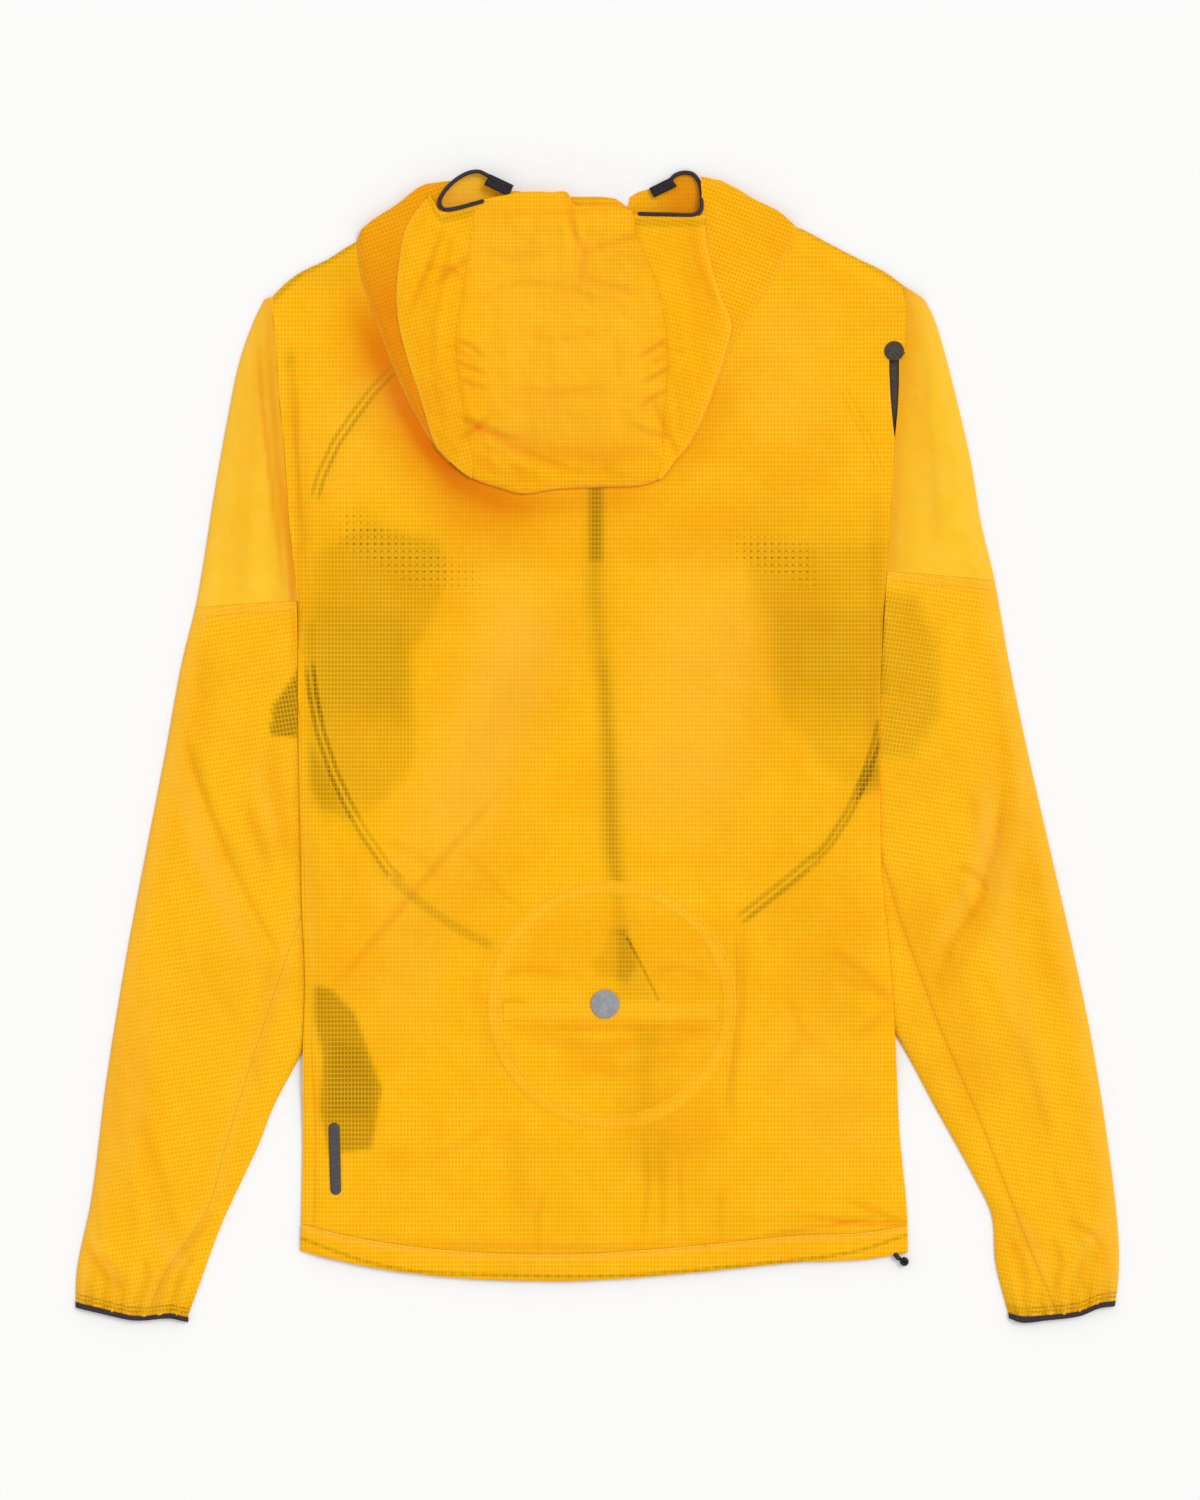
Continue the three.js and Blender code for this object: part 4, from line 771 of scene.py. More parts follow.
# painted highlights on raised folds and beside the left side seam: (strength, width, softness, points)
backPaintedHighlights = [
    (0.3, 16, 40, [(-126, -110), (-84, -20), (-60, 50), (-30, 130)]),
    (0.26, 24, 50, [(80, 150), (70, 60), (60, -10), (30, -80)]),
    (0.12, 12, 26, [(-86, 140), (-60, 100), (-46, 40)]),
    (0.1, 16, 40, [(110, -170), (150, -230), (166, -300)]),
    (0.12, 14, 40, [(-130, 260), (-170, 200), (-150, 150)]),
    (0.14, 14, 40, [(120, 310), (130, 240), (106, 190)]),
    (0.2, 3, 6, [(-193, -20), (-191, -140), (-190, -220)]),
    (0.12, 10, 30, [(-150, -60), (-120, -140), (-140, -210)]),
]


def shadeLines(x, y, lines):
    total = np.zeros(np.shape(x))
    for strength, width, soft, points in lines:
        total = total + strength * softLine(x, y, points, width, soft)
    return clamp01(total)


setValues(backPanel, "paintedShade", shadeLines(x, y, backPaintedShade))
setValues(backPanel, "paleBandsAndHighlights", shadeLines(x, y, backPaintedHighlights))
declare(backPanel, ["back_panel"], flat=(0.43, 0.70), area=0.27)


hemCloth = {"lift": 0.5, "puff": 0.35, "gathers": 0.22, "seamDip": 0.2, "edgeDrop": 1.0}


def hemSurface(x, y):
    inside = y - hem(x)
    puff = hemCloth["puff"] * np.sin(math.pi * clamp01(inside / cloth["hemDepth"]))
    gathers = hemCloth["gathers"] * ripple(x, y * 0.3, 11, 4) * smooth(inside / 5) * smooth((20 - inside) / 6)
    seam = -hemCloth["seamDip"] * smooth((inside - 16.4) / 1.6)
    edge = hemCloth["edgeDrop"] * (1 - roundEdge(inside / 2.2))
    return backSurface(x, y) + hemCloth["lift"] + puff + gathers + seam - edge


hemOverlock = curve([
    (-196, -325), (-184, -329.3), (-156, -339.2), (-122, -346.3), (-84.5, -348.3), (8.6, -349.6),
    (109, -341.3), (167, -334), (202, -323.3),
])
grid = panelGrid(bodyLeft, bodyRight, hem, lambda x: hemSeam(x) - 0.1, even(200), 14, hemSurface)
hemBack, x, y = clothGrid("hem_back_cloth", grid, bodyCloth, turned=True)
inside = y - hem(x)
drawn = np.zeros(x.shape + (4,))
drawn[..., 0] = y - hemOverlock(x)
drawn[..., 1] = 1.2
drawn[..., 2] = 0.62 * (0.8 + 0.2 * np.sin(x * 0.9))
setValues(hemBack, "drawn", drawn, "FLOAT_COLOR")
setValues(hemBack, "through", 0.04 * (1 - smooth(inside / 9)))
# painted shade in the puckers above the hem
hemPuckerShade = [
    (0.45, 1, 3, [(xAt, -334 - 0.02 * xAt), (xAt + lean, -322), (xAt + lean * 1.6, -312)])
    for xAt, lean in ((14, 3), (24, -2), (33, 2), (45, -3), (58, 3), (72, -2),
                      (-30, 3), (-60, -3), (-120, 4))
]
setValues(hemBack, "paintedShade", shadeLines(x, y, hemPuckerShade))
# painted lightening of the hem channel's upper part, next to its seam
setValues(hemBack, "paleBandsAndHighlights", 0.4 * smooth((inside - 12) / 4))
declare(hemBack, ["hem_back"], flat=(0.402, 0.019))
print("back panel and hem ready")


# Fronts, three cuts on each side of the zip, seen from below
frontSetup = {
    "level": 0.55,
    "unevenness": 0.12,
    "zipHalf": 4.2,
}


def arcDepth(x):
    return np.sqrt(1 - np.minimum(0.98, (x / cloth["frontArc"][1]) ** 2))


def lowerArc(x):
    return cloth["frontArc"][0] - cloth["frontArc"][2] * arcDepth(x)


def upperArc(x):
    return cloth["frontArc"][0] + cloth["frontArc"][3] * arcDepth(x)


def frontTop(x):
    return np.where(np.abs(x) < cloth["neckReach"], frontNeck(x), shoulder(x))


def frontSurface(x, y):
    sideway = np.minimum(x - bodyLeft(y), bodyRight(y) - x)
    edge = 0.9 * (1 - roundEdge(sideway / 2.2))
    uneven = frontSetup["unevenness"] * (1 + ripple(x, y, 30, 7))
    flat = bodyLift(x, y) + frontSetup["level"] + edge + uneven
    pastBack = smooth((backLeftEdge(y) + 2.2 - x) / 2.0)
    turned = pastBack * smooth((30 - y) / 16) * roundEdge((x - bodyLeft(y)) / 2.6)
    return mix(flat, backSurface(x, y) - 0.12, turned)


frontFlats = {
    "shoulder": ((0.2, 0.16), 0.0165),
    "chest": ((0.215, 0.42), 0.073),
    "lower": ((0.215, 0.27), 0.044),
    "hem": ((0.232, 0.019), None),
}
for side, name, edge in ((-1, "left", bodyLeft), (1, "right", bodyRight)):
    def frontEdge(y, side=side):
        return zipLine(y) + side * frontSetup["zipHalf"]

    cuts = {
        "shoulder": (lambda x: upperArc(x) + 0.15, frontTop, 26, yokeCloth, "plain_yoke"),
        "chest": (lambda x: lowerArc(x) + 0.15, upperArc, 90, bodyCloth, "ripstop_body"),
        "lower": (hemSeam, lowerArc, 50, bodyCloth, "ripstop_body"),
        "hem": (hem, lambda x: hemSeam(x) - 0.1, 5, bodyCloth, "ripstop_body"),
    }
    for cut, (bottom, top, rows, material, slot) in cuts.items():
        across = np.concatenate([np.linspace(0, 0.07, 15), np.linspace(0.07, 1, 50)[1:]])
        grid = panelGrid(edge, frontEdge, bottom, top, across, rows, frontSurface)
        node = f"hem_front_{name}" if cut == "hem" else f"front_{cut}_{name}"
        piece, x, y = clothGrid(f"{node}_cloth", grid, material, turned=side > 0)
        flat, area = frontFlats[cut]
        if cut == "hem" and side > 0:
            flat = (0.174, 0.019)
        declare(piece, [node], flat=flat, area=area)
print("fronts ready")


# Sleeves
sleeveSetup = {
    "edgeCrest": 4.5,  # height where the body covers it
    "crest": 4.9,
    "headDrop": 1.6,
    "cuffDrop": 1.1,
    "middle": 1.1,
    "radius": 12.0,
    "gathers": 7,
    "gatherLength": 34.0,
    "tuck": 1.3,  # how far the yoke reaches under the back
    "tuckDrop": 0.7,  # and how much lower it lies there
    "weaveSlant": 0.16,
}
cuffBand = {"y": -376.0, "start": 0.7, "end": -0.2, "height": 4.7, "bottom": 0.2, "edge": 6.0}


def sleeveTop(sleeve, x, y):
    side = sleeve["side"]
    outside = (x - sleeve["body"](y)) * side
    belowArm = smooth((cloth["underarm"] - y) / 50)
    atCover = mix(2 * cloth["wall"] + cloth["bodyHollow"] - 0.15, sleeveSetup["edgeCrest"], belowArm)
    atTop = smooth((295 - y) / 40)
    ridge = sleeveSetup["crest"] - sleeveSetup["headDrop"] * (1 - atTop)
    shape = mix(atCover, ridge, smooth(outside / 26))
    openOut = smooth(outside / 16) * atTop
    cuffAway = y - sleeve["cuff"](x)
    run = clamp01(1 - cuffAway / sleeveSetup["gatherLength"])
    share = (x - sleeve["outer"](y)) / (sleeve["inner"](y) - sleeve["outer"](y))
    turns = 2 * math.pi * sleeveSetup["gathers"] * share
    gathers = 0.85 * run * np.sin(turns) + 0.5 * run ** 2 * np.sin(2.7 * turns + 1.1)
    gathers = gathers + 0.3 * run ** 3 * np.sin(5.3 * turns + 0.4)
    folds = (1.2 * foldHeight(sleeve["folds"], x, y) + 1.5 * foldHeight(sleeve["creases"], x, y)) * openOut
    uneven = 0.3 * ripple(x, y, 30, 2 + side) + 0.16 * ripple(x, y, 12, 6 + side)
    fromSeam = (x - sleeve["underSeam"](y)) * side
    seam = -0.2 * np.exp(-((fromSeam / 1.3) ** 2)) * belowArm
    pucker = 0.3 * np.exp(-np.abs(fromSeam) / 5) * ripple(x * 0.2, y, 9, 8) * belowArm
    flatter = sleeveSetup["cuffDrop"] * clamp01(1 - cuffAway / 14)
    tucked = sleeveSetup["tuckDrop"] * smooth(-outside / 0.8)
    return shape + folds + gathers - flatter + uneven * smooth(outside / 10) + seam + pucker - tucked


leftSleeve["creases"] = [
    (-274, 8, -258, -44, 6, -0.9), (-257, -46, -238, -86, 6, -0.9), (-238, -88, -210, -142, 6, -0.9),
    (-264, 4, -248, -48, 7, 0.8), (-246, -52, -226, -92, 7, 0.7), (-236, -40, -220, -78, 5, -0.6),
    (-227, 280, -232, 160, 6, -0.6), (-240, 200, -246, 60, 8, 0.6), (-262, 20, -268, 90, 8, -0.5),
    (-300, -60, -296, -180, 12, 0.6), (-318, -200, -300, -330, 9, 0.6), (-306, -240, -276, -330, 6, -0.6),
    (-330, -290, -322, -356, 6, 0.7), (-300, -300, -312, -360, 6, 0.7), (-286, -200, -252, -250, 8, 0.5),
    (-270, -130, -240, -190, 8, -0.5), (-284, -90, -266, -150, 9, 0.5), (-232, -200, -222, -236, 5, -0.5),
    (-226, 284, -208, 100, 3.5, -0.6), (-219, 280, -207, 130, 3.5, 0.5), (-276, 4, -246, -66, 3.5, -0.6),
]
rightSleeve["creases"] = [
    (262, -76, 258, -98, 5, -0.9), (257, -98, 236, -138, 5, -0.9), (268, -80, 262, -110, 6, 0.7),
    (240, -87, 250, -112, 5, 0.8), (214, 250, 222, 130, 7, -0.6), (246, 180, 252, 60, 8, 0.6),
    (230, 90, 226, 20, 7, 0.5), (280, 20, 284, -60, 8, -0.5), (292, -60, 300, -160, 9, 0.6),
    (272, -180, 296, -260, 6, -0.7), (256, -140, 280, -200, 7, 0.6), (314, -317, 337, -342, 6, 1.0),
    (306, -312, 330, -326, 4, -0.7), (276, -310, 290, -330, 7, 1.0), (300, -270, 330, -330, 8, 0.7),
    (268, -250, 284, -300, 5, 0.6), (214, -110, 240, -180, 6, 0.5), (222, -120, 246, -190, 5, -0.6),
    (266, -30, 262, -80, 3.5, -0.8), (260, -84, 238, -126, 3.5, -0.8), (258, -98, 240, -80, 3.5, -0.6),
]


def foldedGrid(seamAbove, seamBelow, fold, startLine, endLine, across, rows, base, middle, crest,
               radius, sideways=False, inset=0.15):
    side = float(np.sign(fold(0.0) - seamAbove(0.0))) or 1.0
    f = np.asarray(across, float)[None, :]

    def layer(seam, upper):
        start, end = meet(startLine, seam, fold, f), meet(endLine, seam, fold, f)
        b = mix(start, end, even(rows)[:, None])
        a = mix(seam(b), fold(b), f)
        a = a - side * inset * clamp01(1 - np.abs(fold(b) - a) / (radius + inset))
        x, y = (b, a) if sideways else (a, b)
        bend = roundEdge(np.abs(fold(b) - side * inset - a) / radius)
        reach = crest(x, y) - inset if upper else base(x, y) + inset
        return np.stack([x, y, mix(middle(x, y), reach, bend)], -1)

    above, below = layer(seamAbove, True), layer(seamBelow, False)
    return np.concatenate([above, below[:, -2::-1]], 1)


sleeveThrough = {
    -1: {"wedge": (0.8, 3, [(-197, 52), (-215, 27), (-217, 7), (-197, 5)]),
         "vent": (0.3, 6, [(-208, 262), (-199, 262), (-199, 250), (-208, 250)])},
    1: {"shade": (0.42, 13, [(184, 104), (212, 98), (224, 66), (226, 22), (208, -8), (184, -8)]),
        "edge": (0.3, 3, [(186, 84), (190, 84), (190, 34), (186, 34)])},
}
# painted shade in the sleeve creases, the cuff gathers and beside the body's edge: (strength, width,
# softness, points)
sleevePaintedShade = {
    -1: [
        (0.24, 1, 2.6, [(-280, 20), (-273, 7), (-263, -24), (-246, -69), (-223, -114), (-208, -142),
            (-190, -166)]),
        (0.26, 1, 4, [(-198, 40), (-197.5, -20), (-196.5, -80), (-195, -140), (-194, -200)]),
        (0.2, 3, 12, [(-226, 296), (-230, 220), (-236, 140), (-242, 60)]),
        (0.3, 1, 2.5, [(-227, 290), (-221, 220), (-213, 150), (-206, 90)]),
        (0.22, 1, 3, [(-220, 286), (-213, 200), (-206, 120)]),
        (0.2, 1, 6, [(-236, -24), (-228, -46), (-214, -88)]),
        (0.14, 3, 12, [(-312, -220), (-290, -290), (-276, -350)]),
        (0.14, 5, 18, [(-250, 80), (-262, 20), (-280, -50)]),
        (0.14, 3, 12, [(-208, -130), (-222, -190), (-234, -246)]),
        (0.16, 2, 8, [(-216, 20), (-212, -30), (-202, -90)]),
        (0.12, 8, 30, [(-300, -120), (-310, -220), (-330, -320)]),
        (0.3, 1, 3, [(-209, 195), (-201, 100), (-198, 20)]),
        (0.3, 1, 5, [(-342, -316), (-334, -336), (-322, -352), (-306, -360)]),
        (0.25, 1, 4, [(-330, -330), (-318, -346), (-314, -368)]),
        (0.3, 1, 5, [(-250, -302), (-268, -326), (-284, -346), (-296, -372)]),
        (0.22, 1, 4, [(-262, -330), (-274, -346), (-280, -366)]),
        (0.2, 1, 4, [(-300, -334), (-296, -350), (-302, -366)]),
    ],
    1: [
        (0.34, 1, 3, [(272, -14), (267.7, -32), (263, -65), (253.5, -100), (233.5, -131), (222, -165)]),
        (0.24, 1, 3, [(258, -98), (252, -86), (241, -80), (232, -84)]),
        (0.18, 3, 12, [(276, -20), (264, -90), (238, -140), (214, -180)]),
        (0.18, 1, 6, [(244, -20), (250, -50), (258, -84)]),
        (0.16, 3, 10, [(210, 262), (218, 190), (224, 110)]),
        (0.26, 1, 5, [(306, -312), (327, -322), (342, -348)]),
        (0.18, 2, 8, [(272, -296), (284, -320), (296, -340)]),
        (0.12, 3, 14, [(266, -160), (284, -220), (300, -282)]),
        (0.16, 10, 18, [(196, -60), (222, -140), (248, -210), (262, -260)]),
        (0.1, 10, 34, [(262, 80), (284, -60), (312, -200)]),
        (0.24, 1, 4, [(322, -330), (318, -348), (324, -366)]),
        (0.26, 1, 4, [(300, -320), (306, -342), (300, -366)]),
        (0.26, 1, 5, [(268, -318), (280, -340), (286, -366)]),
    ],
}
# painted highlights on the ridges beside the sleeve creases and at the cuffs: (strength, width, softness,
# points)
sleevePaintedHighlights = {
    -1: [
        (0.3, 4, 10, [(-290, 24), (-282, -4), (-268, -46), (-258, -80), (-236, -124), (-216, -160)]),
        (0.2, 2, 6, [(-228, 0), (-222, -30), (-210, -70)]),
        (0.2, 4, 12, [(-290, -120), (-304, -220), (-322, -320)]),
        (0.25, 2, 5, [(-292, -312), (-282, -336), (-262, -352)]),
        (0.25, 2, 5, [(-338, -312), (-324, -340), (-312, -366)]),
    ],
    1: [
        (0.3, 3, 6, [(262, -8), (257, -40), (250, -84), (232, -118), (212, -150)]),
        (0.2, 3, 8, [(284, 10), (278, -60), (266, -110)]),
        (0.2, 4, 12, [(250, 20), (270, -140), (300, -260)]),
        (0.25, 2, 5, [(270, -300), (286, -326), (300, -362)]),
        (0.25, 2, 5, [(340, -306), (322, -330), (312, -352)]),
    ],
}
sleeveHeads = {
    -1: [(-228, 291), (-220.5, 295), (-215, 296.5)],
    1: [(203, 303), (215.8, 295), (224, 289)],
}
sleeveFlats = {
    "yoke": ((0.14, 0.2), 0.0175),
    "main": ((0.225, 0.49), 0.084),
    "under": ((0.09, 0.45), 0.0225),
}


def cuffStitches(aboveCuff):
    drawn = np.zeros(aboveCuff.shape + (4,))
    drawn[..., 0] = aboveCuff - 4.6
    drawn[..., 1] = 0.45
    drawn[..., 2] = 0.5 * (aboveCuff < 12)
    drawn[..., 3] = 1.3
    return drawn


def buildSleeve(name, sleeve):
    side = sleeve["side"]
    outer, inner, seam, body = sleeve["outer"], sleeve["inner"], sleeve["underSeam"], sleeve["body"]
    yokeLine, cuffLine, cuffEnd = sleeve["yokeSeam"], sleeve["cuff"], sleeve["cuffEnd"]

    def crest(x, y):
        return sleeveTop(sleeve, x, y)

    def base(x, y):
        return 0.12 + 0 * x

    def middle(x, y):
        return sleeveSetup["middle"] + 0 * x

    def armhole(y):
        tuck = sleeveSetup["tuck"] * (smooth((y - 262) / 6) if side > 0 else 1)
        return body(y) - side * tuck - (slitCover(y) if side > 0 else 0)

    def mainSeam(y):
        return mix(seam(y), body(y) + side * 0.15, smooth((y - 26) / 14)) + side * 0.1

    slant = sleeveSetup["weaveSlant"] * side
    head = curve(sleeveHeads[side])
    pieces = {
        "yoke": (armhole, armhole, outer, head, lambda x: yokeLine(x) + 0.1, 26, 90, yokeCloth,
                 "plain_yoke"),
        "main": (mainSeam, mainSeam, outer, yokeLine, cuffLine, 38, 210, sleeveCloth, "ripstop_sleeve"),
    }
    seamStart = float(meet(yokeLine, mainSeam, outer, np.zeros(1))[0])
    seamEnd = float(meet(cuffLine, mainSeam, outer, np.zeros(1))[0])
    underTop = mix(seamStart, seamEnd, 3 / 18)
    pieces["under"] = (seam, seam, inner, lambda x: underTop + 0 * x, cuffLine, 18, 180,
                       sleeveCloth, "ripstop_sleeve")
    for cut, (above, below, fold, start, end, across, rows, material, slot) in pieces.items():
        grid = foldedGrid(above, below, fold, start, end, closerAtEnd(across, 1.5), rows,
                          base, middle, crest, sleeveSetup["radius"])
        flip = (side < 0) == (cut != "under")
        piece, x, y = clothGrid(f"sleeve_{cut}_{name}_cloth", grid, material, weaveTurn=slant, turned=flip)
        through, drawn = paint(x, y, sleeveThrough[side], [])
        aboveCuff = y - cuffLine(x)
        setValues(piece, "through", through + 0.26 * np.exp(-((aboveCuff / 22) ** 2)) * (cut != "yoke"))
        setValues(piece, "drawn", cuffStitches(aboveCuff), "FLOAT_COLOR")
        # painted shade along the right under seam, in the valleys of the cuff gathers and on the yoke beside
        # the armhole
        seamShade = 0.22 * np.exp(-(((x - seam(y)) / 1.6) ** 2)) * (y < 30) * (side > 0)
        run = clamp01(1 - aboveCuff / sleeveSetup["gatherLength"])
        share = (x - outer(y)) / (inner(y) - outer(y))
        turns = 2 * math.pi * sleeveSetup["gathers"] * share
        waves = 0.6 * np.sin(turns) + 0.5 * run * np.sin(2.7 * turns + 1.1)
        besideArm = (x - body(y)) * side
        armShade = 0.1 * (1 - smooth((besideArm - 3) / 4)) + 0.3 * (1 - smooth(besideArm / 26))
        armShade = armShade * (cut == "yoke")
        valleyShade = 0.42 * run ** 1.3 * clamp01(-waves) + armShade
        setValues(piece, "paintedShade", clamp01(shadeLines(x, y, sleevePaintedShade[side]) + seamShade + valleyShade))
        # a pale band at the yoke seam and beside the left under seam; painted highlights near the outer fold,
        # on the crease ridges and on the gather ridges
        band = 0.24 * (1 - smooth((np.abs(y - yokeLine(x) + 3.4) - 2.8) / 1.4))
        edge = 0.45 * (1 - smooth(np.abs(x - outer(y)) / 16))
        besideSeam = 0.2 * np.exp(-(((x - seam(y)) / 5) ** 2)) * (y < 30) * (side < 0)
        ridgeHighlights = shadeLines(x, y, sleevePaintedHighlights[side])
        setValues(piece, "paleBandsAndHighlights", clamp01(band + edge + besideSeam + ridgeHighlights + 0.3 * run * clamp01(waves)))
        flat, area = sleeveFlats[cut]
        declare(piece, [f"sleeve_{cut}_{name}"], flat=flat, area=area)

    # cuff binding, all round
    stations = (1 - np.cos(math.pi * even(60))) / 2
    rings = []
    for upper in (True, False):
        rows = []
        for step in even(5):
            guess = mix(outer(cuffBand["y"]), inner(cuffBand["y"]), stations)
            y = mix(cuffLine(guess) + cuffBand["start"], cuffEnd(guess) + cuffBand["end"], step)
            x = mix(outer(y), inner(y), stations)
            away = np.minimum(np.abs(x - outer(y)), np.abs(x - inner(y)))
            bulge = 0.3 * math.sin(math.pi * step) + 0.2 * np.sin(stations * 90)
            reach = cuffBand["height"] + bulge if upper else cuffBand["bottom"] + 0 * x
            rise = roundEdge(away / cuffBand["edge"])
            rows.append(np.stack([x, y, mix(sleeveSetup["middle"], reach, rise)], -1))
        rings.append(np.array(rows))
    ring = np.concatenate([rings[0], rings[1][:, -2:0:-1]], 1)
    binding = makeMesh(f"cuff_binding_{name}_band", ring,
                       gridFaces(6, ring.shape[1], True, side > 0), bindingCloth)
    declare(binding, [f"cuff_binding_{name}"])


buildSleeve("left", leftSleeve)
buildSleeve("right", rightSleeve)
print("sleeves ready")


# Hood
hoodOutline = {
    "left": [
        (334, -159.1), (312, -157.1), (286, -148.5), (255, -137.3), (225, -124.1), (199, -108.9),
        (186, -98), (176, -87),
    ],
    "right": [
        (338, 132), (306, 114.2), (275, 94.4), (247, 81.2), (218, 70.6), (197, 59.4), (184, 47.5),
        (176, 42.5),
    ],
    "creaseLeft": [
        (366, -110), (343, -126.7), (317, -132), (290, -133.3), (264, -128.7), (229, -117.5),
        (199, -107.9), (188, -98.4), (181.5, -91), (178, -86.2), (176.4, -83.4),
    ],
    "creaseRight": [
        (352, 70.6), (328, 72.6), (297, 81.2), (277, 88.5), (247, 80.4), (218, 69.8), (197, 58.8),
        (188, 51), (181, 46), (177.5, 43.2), (175.6, 41),
    ],
    "stripLeft": [
        (366, -78.5), (345, -82.5), (312, -87.1), (269, -93.7), (242, -91.7), (212, -87.1),
        (190, -82.5), (176, -83.2),
    ],
    "stripRight": [
        (366, 16), (352, 22.4), (334, 26.4), (312, 35.6), (290, 42.2), (255, 46), (214, 42.9),
        (183, 40.9), (170, 38),
    ],
    "crown": [
        (-84, 176.6), (-76, 173.2), (-65, 169.8), (-50, 165.9), (-28, 168.8), (0, 170.2), (26, 170.9),
        (35, 173), (41, 175.8),
    ],
    "brim": [
        (-79, 359), (-72, 361), (-62, 362.8), (-50, 365), (-30, 365), (-20, 364.6), (-16, 356.6),
        (2.6, 355.7), (16, 354.6),
        (24, 352),
    ],
    "mouthLeft": [(-112, 366), (-105, 352), (-98, 351.5), (-78, 356.5)],
    "mouthRight": [(22, 349.6), (30, 348.4), (66, 348.2), (72, 350)],
}
hoodLine = {key: curve(rows) for key, rows in hoodOutline.items()}
hoodSetup = {
    "under": 4.9,
    "layer": 1.2,
    "crest": 9.3,
    "radius": 9.0,
    "sideRadius": 15.0,
    "rest": 0.2,  # the centre strip's lower layer above the back
    "foldRise": 0.6,  # the same where it folds
    "folds": [
        (-22, 360, -21, 300, 9, 0.9), (-10, 352, -9, 296, 8, -0.8), (-60, 340, -40, 230, 18, -0.6),
        (14, 318, -12, 306, 9, -0.7), (20, 280, 4, 190, 14, 0.7), (-104, 330, -112, 240, 12, 0.7),
        (-72, 190, -40, 182, 7, 0.7), (58, 320, 66, 240, 10, -0.6),
    ],
    "creases": [
        (-18, 362, -17, 318, 4, -1.0), (-13, 352, -12, 310, 4, 0.8), (-76, 344, -52, 336, 7, -0.6),
        (-10, 342, 24, 306, 12, -0.8), (-14, 308, 24, 298, 4, -0.9), (-16, 302, 22, 292, 4, 0.8),
        (-66, 300, -56, 230, 9, 0.6), (-30, 290, -24, 200, 10, 0.5), (10, 270, 18, 200, 8, -0.5),
        (-80, 200, -50, 178, 5, -0.8), (-60, 188, -30, 178, 4, 0.7), (-20, 190, 10, 180, 5, -0.5),
        (-118, 300, -104, 210, 6, -0.6), (-104, 350, -110, 280, 6, 0.6), (-98, 330, -100, 260, 5, -0.5),
        (60, 346, 70, 300, 5, 0.6), (52, 300, 62, 230, 6, 0.6), (50, 240, 54, 200, 4, -0.6),
        (-50, 340, -34, 330, 6, 0.5), (-44, 262, -10, 254, 5, 0.4), (-70, 222, -44, 214, 5, 0.4),
        (-96, 218, -60, 204, 3.5, -0.9), (-94, 202, -68, 220, 3.5, -0.8), (-86, 222, -72, 186, 3.5, 0.9),
        (-83, 214, -36, 189, 4, -0.8), (-36, 189, -8, 177, 4, -0.7), (34, 230, 56, 186, 3.5, -0.9),
        (22, 214, 50, 204, 3.5, 0.8), (-110, 302, -84, 322, 3.5, -0.9), (-114, 318, -86, 308, 3.5, 0.8),
        (-100, 346, -126, 284, 4, -0.9), (-93, 344, -108, 270, 4, 0.8), (-78, 298, 0, 302, 4, 0.5),
        (-66, 274, 20, 274, 4, -0.5), (-60, 238, 16, 238, 4, 0.5), (60, 350, 80, 282, 4, -0.8),
        (-9, 325, 24, 336, 4, -0.8), (-18, 340, -9, 325, 4, -0.8),
    ],
}


def seamPucker(x, y, seam, low, high, seed):
    away = np.abs(x - seam(y))
    between = smooth((y - low) / 10) * smooth((high - y) / 10)
    groove = -0.25 * np.exp(-((away / 1.6) ** 2))
    return groove + 0.9 * between * np.exp(-away / 8) * ripple(x * 0.25, y, 9, seed)


def hoodSurface(x, y):
    folds = foldHeight(hoodSetup["folds"], x, y) + 1.1 * foldHeight(hoodSetup["creases"], x, y)
    uneven = 0.35 * ripple(x, y, 26, 9) + 0.22 * ripple(x, y, 11, 12) + 0.1 * ripple(x, y, 6, 15)
    seams = seamPucker(x, y, hoodLine["stripLeft"], 232, 276, 3)
    seams = seams + seamPucker(x, y, hoodLine["stripRight"], 230, 280, 6)
    brimStitch = -0.3 * np.exp(-(((y - 354) / 1.4) ** 2)) * smooth((-16 - x) / 6)
    return hoodSetup["crest"] + folds + uneven + seams + brimStitch


